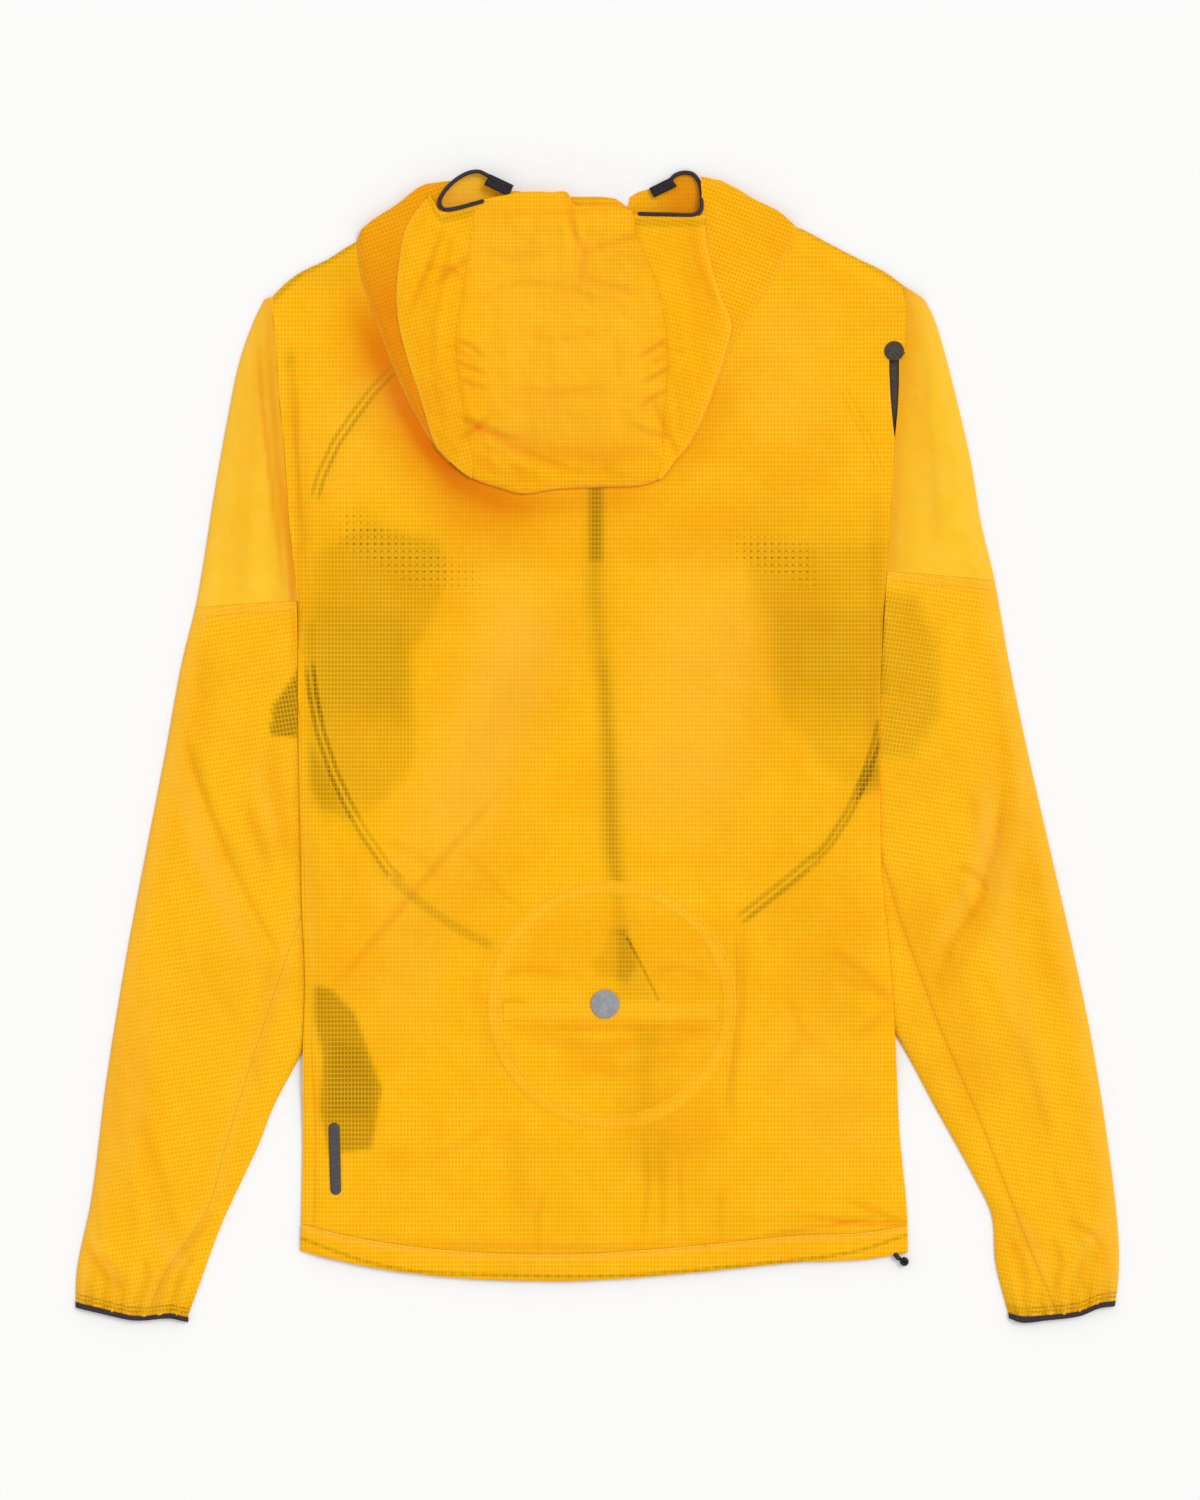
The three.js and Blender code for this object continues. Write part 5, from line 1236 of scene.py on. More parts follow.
# painted shade in the hood creases, the puckers at the strip seams and towards the crown: (strength, width,
# softness, points)
hoodPaintedShade = [
    (0.3, 1, 4, [(-22, 374), (-18, 345), (-9, 325), (-15, 288)]),
    (0.22, 1, 4, [(-14, 318), (-9, 325), (8, 331), (24, 336), (30, 356)]),
    (0.16, 1, 3, [(-84, 349), (-60, 350.5), (-16, 352), (30, 354)]),
    (0.3, 1, 3, [(-100, 222), (-79, 210), (-60, 204), (-44, 204)]),
    (0.26, 1, 3, [(-96, 200), (-79, 210), (-66, 222)]),
    (0.26, 1, 3, [(-88, 224), (-79, 210), (-72, 192), (-70, 180)]),
    (0.26, 1, 4, [(-92, 216), (-83, 214), (-60, 199), (-36, 189), (-6, 175)]),
    (0.24, 1, 3, [(30, 236), (36, 227), (46, 204), (58, 182)]),
    (0.2, 1, 3, [(20, 214), (34, 206), (52, 204)]),
    (0.3, 1, 3, [(-112, 300), (-96, 314), (-82, 324)]),
    (0.26, 1, 3, [(-116, 318), (-96, 314), (-84, 306)]),
    (0.26, 1, 3, [(-98, 352), (-110, 320), (-127, 280)]),
    (0.2, 1, 4, [(-92, 348), (-99, 320), (-108, 280), (-108, 240)]),
    (0.18, 1, 4, [(-80, 296), (-50, 306), (0, 300)]),
    (0.16, 1, 4, [(-66, 274), (-30, 268), (20, 276)]),
    (0.16, 1, 4, [(-60, 238), (-26, 232), (16, 240)]),
    (0.26, 1, 4, [(58, 356), (66, 320), (82, 276)]),
    (0.16, 1, 5, [(-22, 310), (4, 303), (34, 299)]),
    (0.12, 1, 5, [(-84, 328), (-60, 322), (-30, 326)]),
    (0.14, 1, 4, [(-82, 366), (-87, 312), (-93.7, 269), (-91.7, 242), (-87, 212), (-82, 170)]),
    (0.14, 1, 4, [(20, 366), (26, 334), (35.6, 312), (42, 290), (46, 255), (43, 214), (40, 166)]),
    (0.4, 1, 2.5, [(-97, 270), (-84, 264), (-72, 255)]),
    (0.4, 1, 2.5, [(-97, 256), (-83, 249), (-70, 244)]),
    (0.36, 1, 2.5, [(-95, 244), (-82, 238), (-68, 235)]),
    (0.2, 1, 3, [(-96, 262), (-86, 257), (-78, 250)]),
    (0.4, 1, 2.5, [(49, 270), (36, 262), (24, 255)]),
    (0.4, 1, 2.5, [(50, 252), (38, 244), (26, 239)]),
    (0.36, 1, 2.5, [(48, 236), (36, 230), (26, 222)]),
    (0.2, 1, 3, [(49, 261), (40, 255), (32, 250)]),
    (0.12, 14, 30, [(-80, 236), (-40, 210), (0, 206), (44, 220)]),
    (0.18, 3, 9, [(-80, 210), (-30, 194), (10, 190), (46, 200)]),
    (0.2, 1, 6, [(-90, 192), (-60, 180), (-30, 173)]),
    (0.15, 1, 5, [(-30, 184), (0, 180), (32, 178)]),
    (0.14, 6, 20, [(-118, 250), (-100, 208), (-84, 184)]),
    (0.12, 3, 12, [(-122, 320), (-114, 260), (-102, 206)]),
    (0.12, 4, 14, [(54, 344), (66, 300), (78, 264)]),
    (0.1, 6, 20, [(56, 260), (60, 230), (52, 196)]),
]
for side, name, crease, strip, mouth in (
        (-1, "left", "creaseLeft", "stripLeft", "mouthLeft"),
        (1, "right", "creaseRight", "stripRight", "mouthRight")):
    fold, seam = hoodLine[crease], hoodLine[strip]
    endY = 176.6 if side < 0 else 175.8
    grid = foldedGrid(
        lambda y: seam(y) + side * 0.05, lambda y: mix(fold(y), seam(y), 0.4), fold,
        lambda x: hoodLine[mouth](x) + 1.2,
        lambda x: endY + 0 * x, closerAtEnd(26, 1.4), 90,
        lambda x, y: hoodSetup["under"] + hoodSetup["layer"] + 0.3 + 0 * x,
        lambda x, y: hoodSetup["under"] + hoodSetup["layer"] + 0.7 + 0 * x,
        hoodSurface, hoodSetup["sideRadius"])
    piece, x, y = clothGrid(f"hood_side_{name}_cloth", grid, hoodCloth, 0.25 * side, turned=side < 0)
    drawn = np.zeros(x.shape + (4,))
    drawn[..., 0] = hoodLine[mouth](x) - y - 3.6
    drawn[..., 1] = 2.3
    drawn[..., 2] = 0.42
    setValues(piece, "drawn", drawn, "FLOAT_COLOR")
    setValues(piece, "paintedShade", shadeLines(x, y, hoodPaintedShade))
    # painted highlight along the side's folded edge
    setValues(piece, "paleBandsAndHighlights", 0.4 * np.exp(-(((x - fold(y)) / 2.4) ** 2)))
    declare(piece, [f"hood_side_{name}"], flat=(0.075, 0.19), area=0.011)
grid = foldedGrid(
    hoodLine["brim"], lambda x: 300.0 + 0 * x, hoodLine["crown"],
    hoodLine["stripLeft"], hoodLine["stripRight"],
    closerAtEnd(110, 1.15), 84, lambda x, y: backSurface(x, y) + hoodSetup["rest"],
    lambda x, y: backSurface(x, y) + hoodSetup["foldRise"], hoodSurface, hoodSetup["radius"], sideways=True)
hoodCentre, x, y = clothGrid("hood_centre_cloth", grid, hoodCloth, turned=True)
layered = 0.3 * softPolygon(x, y, [(-76, 344), (-24, 342), (-26, 322), (-66, 318)], 7)
layered = layered + 0.34 * softPolygon(x, y, [(-14, 346), (26, 344), (34, 314), (14, 296), (-8, 304)], 7)
setValues(hoodCentre, "doubled", layered + 0.3 * smooth((215 - y) / 30))
setValues(hoodCentre, "paintedShade", shadeLines(x, y, hoodPaintedShade))
# painted highlight along the crown fold, and a painted lit patch on the upper hood
crownHighlight = 0.4 * np.exp(-(((y - hoodLine["crown"](x)) / 2.4) ** 2))
lit = 0.16 * softPolygon(x, y, [(-80, 350), (10, 352), (40, 290), (40, 200), (-70, 190)], 40)
setValues(hoodCentre, "paleBandsAndHighlights", crownHighlight + lit)
declare(hoodCentre, ["hood_centre"], flat=(0.13, 0.33), area=0.037)


def filledOutline(points, spacing):
    # an outline filled with even triangles
    edge = []
    for (ax, ay), (bx, by) in zip(points, points[1:] + points[:1]):
        steps = max(1, int(math.hypot(bx - ax, by - ay) / spacing))
        edge += [(ax + (bx - ax) * k / steps, ay + (by - ay) * k / steps) for k in range(steps)]
    xs = np.arange(min(p[0] for p in edge), max(p[0] for p in edge), spacing)
    ys = np.arange(min(p[1] for p in edge), max(p[1] for p in edge), spacing)
    gx, gy = (axis.ravel() for axis in np.meshgrid(xs, ys))
    inside = softPolygon(gx, gy, points, spacing * 1.1) > 0.99
    spots = [Vector(p) for p in edge] + [Vector(p) for p in zip(gx[inside], gy[inside])]
    made = delaunay_2d_cdt(spots, [], [list(range(len(edge)))], 1, 1e-6)
    flat = np.array([tuple(v) for v in made[0]])
    return flat[:, 0], flat[:, 1], [tuple(face) for face in made[2]]


def clothPatch(name, points, height, material, spacing=3.0, weaveTurn=0.0):
    x, y, faces = filledOutline(points, spacing)
    piece = makeMesh(name, np.stack([x, y, height(x, y)], -1), faces, material)
    cosine, sine = math.cos(weaveTurn), math.sin(weaveTurn)
    weave = np.stack([x * cosine - y * sine, x * sine + y * cosine, 0 * x], -1)
    setValues(piece, "weaveAt", weave, "FLOAT_VECTOR")
    return piece, x, y


def pointsDown(line, start, end, count, shift=0.0):
    return [(float(line(y)) + shift, float(y)) for y in np.linspace(start, end, count + 1)]


wingLeftTop = [
    (-86, 349), (-104, 350), (-104.5, 357), (-101, 364), (-95, 371), (-98, 372.8), (-108, 371.4),
    (-114, 370.4), (-120, 367.5), (-131, 358.4), (-148.5, 347.2), (-156, 341),
]
wingRightTop = [
    (130, 343.5), (118.8, 353.1), (103.6, 360.4), (90.4, 368.3), (81.2, 372.9), (71.5, 375),
    (67.5, 375.6), (68.4, 364), (68, 352), (66, 346.5), (27, 346),
]
wings = {
    "left": (wingLeftTop + pointsDown(hoodLine["left"], 334, 187, 16)
             + pointsDown(hoodLine["stripLeft"], 187, 338, 8, -1.2), hoodLine["left"], -1),
    "right": (wingRightTop + pointsDown(hoodLine["stripRight"], 338, 190, 8, 1.2)
              + pointsDown(hoodLine["right"], 190, 338, 16), hoodLine["right"], 1),
}
for name, (points, contour, side) in wings.items():
    crease = hoodLine["creaseLeft" if side < 0 else "creaseRight"]

    def wingHeight(x, y, contour=contour, side=side, crease=crease):
        outside = (contour(y) - x) * side
        bend = smooth((outside + 0.4) / 4)
        uneven = 0.2 * ripple(x, y, 22, 4 + side) + 0.12 * ripple(x, y, 9, 8)
        atCrease = np.exp(-((np.maximum(0, (x - crease(y)) * side) / 7) ** 2))
        return mix(backSurface(x, y) + 0.15, hoodSetup["under"] + 1.4 + uneven + 0.35 * atCrease, bend)

    wing, x, y = clothPatch(f"hood_wing_{name}_cloth", points, wingHeight, hoodCloth, 2.6, 0.35 * side)
    setValues(wing, "doubled", (0.6 if side < 0 else 0.4) + 0 * x)
    # painted shade on the wings: the left one whole and stronger towards the bottom, the right one beside the
    # crease; a painted highlight along the contour
    if side < 0:
        deep = 0.3 + 0.35 * smooth((345 - y) / 60)
    else:
        deep = 0.06 * np.exp(-(((x - crease(y)) / 9) ** 2)) * smooth((345 - y) / 30)
    setValues(wing, "paintedShade", deep + 0 * x)
    setValues(wing, "paleBandsAndHighlights", 0.35 * np.exp(-(((contour(y) - x) / 1.6) ** 2)))
    declare(wing, [f"hood_wing_{name}"], flat=(0.085, 0.19), area=0.0085)
print("hood ready")


# Collar fronts, bindings of the mouth and tabs
collars = {
    "left": [
        (0, 320), (-40, 327), (-64, 339), (-80, 350), (-94, 350), (-104, 353), (-104.4, 360),
        (-99, 368), (-92, 374.4), (-85, 378), (-78.5, 379), (-71, 375), (-57, 367), (-17.8, 363),
        (2.6, 363), (11.9, 361.7),
        (17.5, 357.5), (19.6, 356.2), (19.4, 321),
    ],
    "right": [
        (20, 357.5), (21.3, 363), (27, 366.3), (33.7, 367.8), (46, 372.4), (51, 377), (57, 378.8),
        (62.7, 377.4), (66.6, 372), (68.4, 364), (68, 352), (72, 348), (64, 339), (40, 326), (19, 321),
    ],
}
for name, points in collars.items():
    def collarHeight(x, y):
        return 0.75 + 0.2 * ripple(x, y, 18, 4) + 0.1 * ripple(x, y, 8, 6)

    collar, x, y = clothPatch(f"collar_{name}_cloth", points, collarHeight, insideCloth, 3.0)
    # painted shade on the collar's right part inside the mouth, painted light on its left part
    setValues(collar, "paintedShade", 0.55 * smooth((x - 30) / 24))
    setValues(collar, "paleBandsAndHighlights", 0.5 * smooth((-70 - x) / 12))
    flat, area = ((0.12, 0.06), 0.0045) if name == "left" else ((0.07, 0.06), 0.0026)
    declare(collar, [f"collar_{name}"], flat=flat, area=area)


def tubeGrid(points, radius, steps, sides, squash=1.0):
    # a round tube through points
    path = np.array(points, float)
    lengths = np.concatenate([[0], np.cumsum(np.linalg.norm(np.diff(path, axis=0), axis=1))])
    at = np.linspace(0, lengths[-1], steps + 1)
    spots = np.stack([curve(list(zip(lengths, path[:, k])))(at) for k in range(3)], -1)
    ahead = np.gradient(spots, axis=0)
    ahead /= np.linalg.norm(ahead, axis=1)[:, None]
    aside = np.cross(ahead, [0, 0, 1.0])
    aside /= np.linalg.norm(aside, axis=1)[:, None]
    up = np.cross(aside, ahead)
    turn = np.linspace(0, 2 * math.pi, sides, endpoint=False)
    ends = roundEdge(np.minimum(at, lengths[-1] - at) / radius * 1.2 + 0.02)[:, None, None]
    ring = np.cos(turn)[None, :, None] * aside[:, None] + squash * np.sin(turn)[None, :, None] * up[:, None]
    return spots[:, None] + radius * ends * ring


def makeTube(name, points, radius, steps, sides, material, squash=1.0):
    grid = tubeGrid(points, radius, steps, sides, squash)
    faces = gridFaces(steps + 1, sides, True)
    faces += [tuple(range(sides))[::-1], tuple(steps * sides + k for k in range(sides))]
    return makeMesh(name, grid, faces, material)


mouthBinding = {
    "radius": 1.4,
    "left": [
        (-75, 359.2, 9.6), (-81.4, 357.4, 9.6), (-91, 354.8, 9.6), (-101, 353.4, 9.2), (-104.2, 356.5, 8.8),
        (-103.8, 361, 8.4), (-99.5, 367.8, 7.8), (-92.5, 374.2, 7.0), (-85, 378.2, 5.8), (-78.5, 379, 4.8),
        (-72, 376, 4.4), (-68.5, 373.6, 4.4),
    ],
    "right": [
        (26, 350.6, 9.0), (29, 350.6, 9.0), (48, 350.1, 9.0), (63, 350.1, 8.4), (67.6, 352.9, 7.6),
        (68.4, 358, 6.2), (68.4, 364, 4.6), (66.8, 372.2, 3.0), (62.7, 377.6, 2.2), (57, 378.8, 2.1),
        (51.4, 377.2, 2.4), (48.4, 374.6, 2.4),
    ],
}
for name in ("left", "right"):
    binding = makeTube(f"hood_binding_{name}_band", mouthBinding[name], mouthBinding["radius"],
                       140, 14, bindingCloth)
    declare(binding, [f"hood_binding_{name}"])


def platePiece(name, points, under, thick, bevel, material, spacing=1.2):
    # a plate with a rounded upper edge
    x, y, faces = filledOutline(points, spacing)
    signed, along = lineDistance(x, y, points + points[:1])
    top = under + thick - bevel * (1 - roundEdge(np.abs(signed) / max(bevel * 1.5, spacing)))
    upper = np.stack([x, y, top], -1)
    lower = np.stack([x, y, under + 0 * x], -1)
    count = len(x)
    edges = {}
    for face in faces:
        for a, b in zip(face, face[1:] + face[:1]):
            edges[(a, b)] = edges.get((b, a), 0) + 1
    rims = [(a + count, b + count, b, a) for a, b in edges if (b, a) not in edges]
    lowerFaces = [tuple(k + count for k in face[::-1]) for face in faces]
    return makeMesh(name, np.concatenate([upper, lower]), faces + rims + lowerFaces, material)


tabs = {
    "left": [(-71.2, 377), (-55.6, 369.6), (-58.9, 362), (-75.2, 370)],
    "right": [(33.7, 368.3), (48.2, 375.6), (52.1, 369.6), (37, 362.3)],
}
for name, points in tabs.items():
    tab = platePiece(f"hood_tab_{name}_tape", points, 7.4 if name == "left" else 2.4,
                     1.4, 0.5, webbing, 1.0)
    declare(tab, [f"hood_tab_{name}"])
print("mouth ready")


# Pieces on the back
ringSetup = {"x": 8.6, "y": -170.9, "outer": 82.5, "inner": 73.0, "lift": 0.25}


def ringGrid(radii, lifts, turns=220):
    angle = np.linspace(0, 2 * math.pi, turns, endpoint=False)[None, :]
    radius = np.array(radii)[:, None] * (1 + 0.004 * np.sin(angle * 3 + 1))
    x = ringSetup["x"] + radius * np.cos(angle)
    y = ringSetup["y"] + radius * np.sin(angle)
    return np.stack([x, y, backSurface(x, y) + np.array(lifts)[:, None]], -1)


radii = [82.5, 82.2, 81.4, 79.5, 77.7, 76, 74.1, 73.3, 73.0]
lifts = [0.03, 0.16, 0.26, 0.24, 0.3, 0.24, 0.26, 0.16, 0.03]
ring = ringGrid(radii, lifts)
ringBand = makeMesh("pocket_ring_tape", ring, gridFaces(len(radii), ring.shape[1], True, True), bodyCloth)
setValues(ringBand, "weaveAt", ring * [1, 1, 0], "FLOAT_VECTOR")
through, drawn = paint(ring[..., 0], ring[..., 1], throughBack, drawnBack)
setValues(ringBand, "through", 0.25 * through)
setValues(ringBand, "paleBandsAndHighlights", 0.1 + 0 * through)
declare(ringBand, ["pocket_ring"], flat=(0.01, 0.489))

lipSetup = {"above": 1.3, "below": -10.6, "reach": 71.0}
lipRows = np.array([lipSetup["above"], 0.9, 0.2, -2, -4.6, -7, -9.4, -10.2, lipSetup["below"]])
lipRows = lipRows + ringSetup["y"]
lipX = np.linspace(-lipSetup["reach"], lipSetup["reach"], 90) + ringSetup["x"]
x, y = np.meshgrid(lipX, lipRows)
lipLift = np.array([0.03, 0.16, 0.24, 0.26, 0.24, 0.3, 0.42, 0.4, 0.05])[:, None]
lip = np.stack([x, y, backSurface(x, y) + lipLift], -1)
lipBand, x, y = clothGrid("pocket_lip_band", lip, bodyCloth, turned=True)
through, drawn = paint(x, y, throughBack, drawnBack)
setValues(lipBand, "through", 0.2 * through)
setValues(lipBand, "paleBandsAndHighlights", 0.06 + 0 * through)
declare(lipBand, ["pocket_lip"], flat=(0.142, 0.012))


def discPiece(name, x, y, radius, under, thick, material):
    profile = [(0.02, thick), (radius - 0.9, thick), (radius - 0.35, thick - 0.08),
               (radius - 0.06, thick - 0.3), (radius, thick - 0.55), (radius, 0), (0.02, 0)]
    angle = np.linspace(0, 2 * math.pi, 64, endpoint=False)[None, :]
    r = np.array([p[0] for p in profile])[:, None]
    z = np.array([p[1] for p in profile])[:, None] + under
    grid = np.stack([x + r * np.cos(angle), y + r * np.sin(angle), z + 0 * angle], -1)
    return makeMesh(name, grid, gridFaces(len(profile), 64, True, False), material)


dots = {  # x, y, radius
    "silver": (4.6, -170.3, 9.5),
    "ventRight": (195.4, 260.7, 6.5),
    "ventLeft": (-203, 256, 6.5),
}
dotLevels = {"silverAboveBack": 0.7, "ventAboveBack": 0.3, "ventLeft": 1.6, "thick": 0.7}
level = float(backSurface(*dots["silver"][:2])) + dotLevels["silverAboveBack"]
silverDot = discPiece("silver_dot_film", *dots["silver"], level, dotLevels["thick"], silverFilm)
declare(silverDot, ["silver_dot"])
level = float(backSurface(*dots["ventRight"][:2])) + dotLevels["ventAboveBack"]
ventDot = discPiece("vent_dot_right_patch", *dots["ventRight"], level, dotLevels["thick"], meshCloth)
declare(ventDot, ["vent_dot_right"])
ventDotLeft = discPiece("vent_dot_left_patch", *dots["ventLeft"], dotLevels["ventLeft"], dotLevels["thick"],
                        meshCloth)
declare(ventDotLeft, ["vent_dot_left"])

labelSetup = {"x": -173.6, "y": -272.3, "width": 7.2, "length": 47.6, "tilt": 1.5}
half, run = labelSetup["width"] / 2, (labelSetup["length"] - labelSetup["width"]) / 2
turn = math.radians(labelSetup["tilt"])
labelPoints = []
for k in range(13):
    labelPoints.append((half * math.cos(math.pi * k / 12), run + half * math.sin(math.pi * k / 12)))
for k in range(13):
    labelPoints.append((-half * math.cos(math.pi * k / 12), -run - half * math.sin(math.pi * k / 12)))
labelPoints = [
    (labelSetup["x"] + px * math.cos(turn) - py * math.sin(turn),
     labelSetup["y"] + px * math.sin(turn) + py * math.cos(turn)) for px, py in labelPoints]
labelUnder = float(backSurface(labelSetup["x"], labelSetup["y"])) + 0.35
label = platePiece("label_tab_film", labelPoints, labelUnder, 0.7, 0.3, labelFilm, 1.1)
declare(label, ["label_tab"])

# Toggle: a bead with a hole on a short neck
toggleSetup = {"x": 202.2, "y": -340.4, "ring": 1.7, "thick": 1.3}
angle = np.linspace(0, 2 * math.pi, 32, endpoint=False)[:, None]
tube = np.linspace(0, 2 * math.pi, 20, endpoint=False)[None, :]
r = toggleSetup["ring"] + toggleSetup["thick"] * np.cos(tube)
bead = np.stack([
    toggleSetup["x"] + r * np.cos(angle), toggleSetup["y"] + r * np.sin(angle),
    2.8 + 2.2 * np.sin(tube) + 0 * angle], -1)
bead = np.concatenate([bead, bead[:1]], 0)
toggle = makeMesh("hem_toggle_bead", bead, gridFaces(33, 20, True, False), blackPlastic)
declare(toggle, ["hem_toggle"])
neckPath = [(195.6, -334.6, 3.4), (197.4, -337.1, 3.4), (199.6, -339.1, 3.2)]
neck = makeTube("toggle_cord_neck", neckPath, 1.6, 16, 12, blackPlastic)
declare(neck, ["toggle_cord"])
print("small pieces ready")


# Pocket bags, vent meshes and zip, between front and back
bagOutlines = {"meshLeft": [(-178, 140), (-110, 150), (-104, 90), (-122, 20), (-140, -30), (-178, -36)],
             "meshRight": [(100, 160), (112, 20), (150, -10), (178, 4), (178, 160)],
             "handLeft": [(-178, -160), (-160, -178), (-144, -226), (-154, -266), (-178, -266)]}
bags = {
    "mesh_pocket_left": ("meshLeft", (0.09, 0.19), 0.012),
    "mesh_pocket_right": ("meshRight", (0.09, 0.17), 0.0115),
    "hand_pocket_left": ("handLeft", (0.04, 0.11), 0.0026),
}
for node, (outline, flat, area) in bags.items():
    bag, x, y = clothPatch(f"{node}_bag", bagOutlines[outline],
                           lambda x, y: frontSurface(x, y) + 0.7, meshCloth, 5.0)
    declare(bag, [node], flat=flat, area=area)
for node, rows in (("vent_mesh_right", [(250, 184, 206), (199, 182, 203)]),
                   ("vent_mesh_left", [(246, -219, -196), (199, -214, -190)])):
    (highY, highLeft, highRight), (lowY, lowLeft, lowRight) = rows
    points = [(lowLeft, lowY), (lowRight, lowY), (highRight, highY + 8), (highLeft, highY + 8)]
    strip, x, y = clothPatch(f"{node}_strip", points, lambda x, y: 2.1 + 0 * x, meshCloth, 2.5)
    declare(strip, [node], flat=(0.022, 0.06))

zipSetup = {"low": -346.0, "high": 316.0, "slider": -105.0, "pull": 26.0}
for side, name in ((-1, "left"), (1, "right")):
    grid = panelGrid(lambda y: zipLine(y) + side * 0.5, lambda y: zipLine(y) + side * 11,
                     lambda x: zipSetup["low"] + 0 * x, lambda x: zipSetup["high"] + 0 * x,
                     even(8), 160, lambda x, y: 1.9 + 0.1 * ripple(x, y, 12, 3))
    tape, x, y = clothGrid(f"zip_tape_{name}_tape", grid, insideCloth, turned=side > 0)
    declare(tape, [f"zip_tape_{name}"], flat=(0.0105, 0.66))


def toothRun(name, low, high, sides):
    points, faces = [], []
    for k, y in enumerate(np.arange(low, high, 1.5)):
        for side in sides:
            if len(sides) > 1 and (k % 2) == (side > 0):
                continue
            x = float(zipLine(y))
            near, far = (0.15 if len(sides) == 1 else -1.0) * side, 2.2 * side
            corners = [(near, -0.5, 0.3), (far, -0.6, 0.2), (far, 0.6, 0.2), (near, 0.5, 0.3),
                       (near, -0.35, 1.0), (far, -0.5, 1.1), (far, 0.5, 1.1), (near, 0.35, 1.0)]
            start = len(points)
            points += [(x + cx, y + cy, cz) for cx, cy, cz in corners]
            quads = [(0, 3, 2, 1), (4, 5, 6, 7), (0, 1, 5, 4), (1, 2, 6, 5), (2, 3, 7, 6), (3, 0, 4, 7)]
            faces += [tuple(start + k for k in (quad if side > 0 else quad[::-1])) for quad in quads]
    return makeMesh(name, points, faces, coilPlastic)


sliderTop = zipSetup["slider"] + 5
upperLeft = toothRun("zip_coil_upper_left_teeth", sliderTop, zipSetup["high"], (-1,))
declare(upperLeft, ["zip_coil_upper_left"])
upperRight = toothRun("zip_coil_upper_right_teeth", sliderTop, zipSetup["high"], (1,))
declare(upperRight, ["zip_coil_upper_right"])
lowerCoil = toothRun("zip_coil_lower_teeth", zipSetup["low"],
                     zipSetup["slider"] - zipSetup["pull"], (-1, 1))
declare(lowerCoil, ["zip_coil_lower"])
sliderX = float(zipLine(zipSetup["slider"]))
sliderOutline = [
    (sliderX - 2.4, -100.2), (sliderX + 2.4, -100.2), (sliderX + 2.5, -106), (sliderX + 1.6, -110),
    (sliderX + 4, -119), (sliderX + 6.5, -130.5), (sliderX + 4.2, -131), (sliderX + 1.4, -119),
    (sliderX - 1.4, -110), (sliderX - 2.4, -106),
]
slider = platePiece("zip_slider_body", sliderOutline, 0.15, 1.0, 0.3, blackPlastic, 1.0)
declare(slider, ["zip_slider"])
print("zip and bags ready")


# Stitches, as small raised threads
def stitchRuns(name, runs, length, gap, width, material):
    points, faces = [], []
    for xs, ys, zs in runs:
        path = np.stack([xs, ys, zs], -1)
        lengths = np.concatenate([[0], np.cumsum(np.linalg.norm(np.diff(path, axis=0), axis=1))])
        starts = np.arange(gap, lengths[-1] - length, length + gap)
        for start in starts:
            ends = [start, start + length / 2, start + length]
            spots = np.stack([np.interp(ends, lengths, path[:, k]) for k in range(3)], -1)
            ahead = spots[2] - spots[0]
            ahead /= np.linalg.norm(ahead)
            aside = np.cross(ahead, [0, 0, 1.0])
            first = len(points)
            for spot, size, lift in zip(spots, (0.45, 1.0, 0.45), (0.0, 0.16, 0.0)):
                for across, up in ((-1, 0), (-0.6, 0.7), (0.6, 0.7), (1, 0)):
                    points.append(spot + aside * across * width * size / 2 + [0, 0,
                        up * width * size * 0.6 + lift])
            for section in (0, 4):
                for k in range(3):
                    a = first + section + k
                    faces.append((a, a + 4, a + 5, a + 1))
            faces.append((first, first + 1, first + 2, first + 3))
            faces.append((first + 11, first + 10, first + 9, first + 8))
    piece = makeMesh(name, points, faces, material)
    return piece


def onSurface(xs, ys, surface, lift):
    return xs, ys, surface(xs, ys) + lift


stitchSetup = {"length": 2.2, "gap": 0.8, "width": 0.38}
hemX = np.linspace(-190, 200, 400)
backRuns = [onSurface(hemX, hemSeam(hemX) + 1.0, backSurface, 0.1), onSurface(hemX, hemSeam(hemX) - 1.6,
    hemSurface, 0.05)]
turns = np.linspace(0, 2 * math.pi, 500)
for radius in (81.2, 74.4):
    ringX = ringSetup["x"] + radius * np.cos(turns)
    ringY = ringSetup["y"] + radius * np.sin(turns)
    backRuns.append(onSurface(ringX, ringY, backSurface, 0.26))
lipLine = np.linspace(-66, 66, 200) + ringSetup["x"]
backRuns.append(onSurface(lipLine, ringSetup["y"] - 9 + 0 * lipLine, backSurface, 0.4))
stitchRuns("stitches_back", backRuns, stitchSetup["length"], stitchSetup["gap"], stitchSetup["width"],
    thread)
sleeveRuns = []
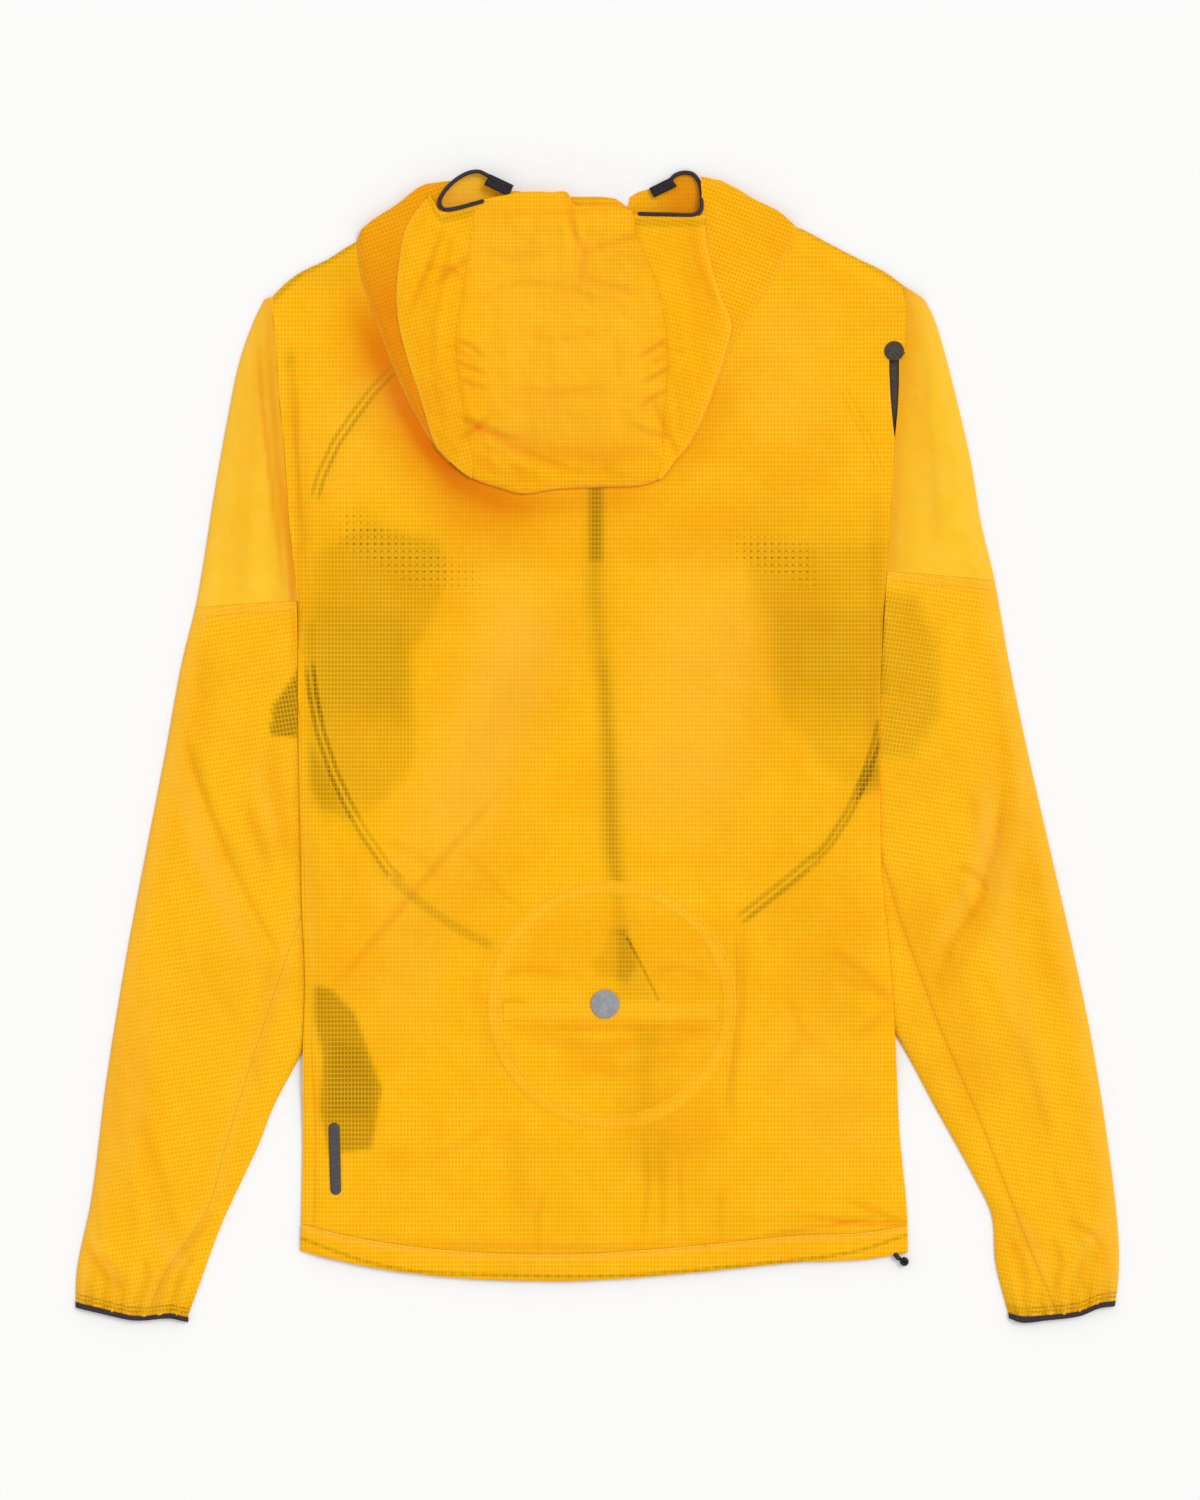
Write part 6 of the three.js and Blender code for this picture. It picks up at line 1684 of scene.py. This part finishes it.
for sleeve in (leftSleeve, rightSleeve):
    side = sleeve["side"]
    xs = np.linspace(float(sleeve["body"](95.0)) + side * 3, float(sleeve["outer"](95.0)) - side * 5, 120)
    sleeveRuns.append(onSurface(xs, sleeve["yokeSeam"](xs) - 6.2, lambda x, y: sleeveTop(sleeve, x, y),
        -0.05))
    for offset in (3.2, 5.6):
        xs = np.linspace(float(sleeve["outer"](-370.0)) - side * 6,
            float(sleeve["inner"](-370.0)) + side * 6, 120)
        sleeveRuns.append(onSurface(xs, sleeve["cuff"](xs) + offset, lambda x, y: sleeveTop(sleeve, x, y),
            -0.05))
stitchRuns("stitches_sleeves", sleeveRuns, stitchSetup["length"], stitchSetup["gap"],
    stitchSetup["width"], thread)
print("stitches ready")


# Floor, light and world
floorSetup = {"size": 8.0, "colour": tone(252, 252, 252), "roughness": 0.9}
half = floorSetup["size"] / 2
floor = bpy.data.meshes.new("floor")
floor.from_pydata([(-half, -half, 0), (half, -half, 0), (half, half, 0),
    (-half, half, 0)], [], [(0, 1, 2, 3)])
floorPiece = bpy.data.objects.new("floor", floor)
bpy.context.scene.collection.objects.link(floorPiece)
floor.materials.append(newMaterial("floor", floorSetup["colour"], floorSetup["roughness"], 0.0)[0])

lightSetup = {"key": 1.05, "keyTurn": (34, 38), "keySoftness": 28, "world": 0.72}
key = bpy.data.lights.new("key", "SUN")
key.energy = lightSetup["key"]
key.angle = math.radians(lightSetup["keySoftness"])
key.color = (1.0, 0.99, 0.975)
keyLamp = bpy.data.objects.new("key", key)
tilt, turn = (math.radians(a) for a in lightSetup["keyTurn"])
towards = Vector((math.sin(tilt) * math.cos(turn), math.sin(tilt) * math.sin(turn), math.cos(tilt)))
keyLamp.rotation_mode = "QUATERNION"
keyLamp.rotation_quaternion = towards.to_track_quat("Z", "Y")
bpy.context.scene.collection.objects.link(keyLamp)
world = bpy.data.worlds.new("world")
world.use_nodes = True
world.node_tree.nodes["Background"].inputs["Color"].default_value = (1.0, 1.0, 1.0, 1.0)
world.node_tree.nodes["Background"].inputs["Strength"].default_value = lightSetup["world"]
bpy.context.scene.world = world
print("stage ready")
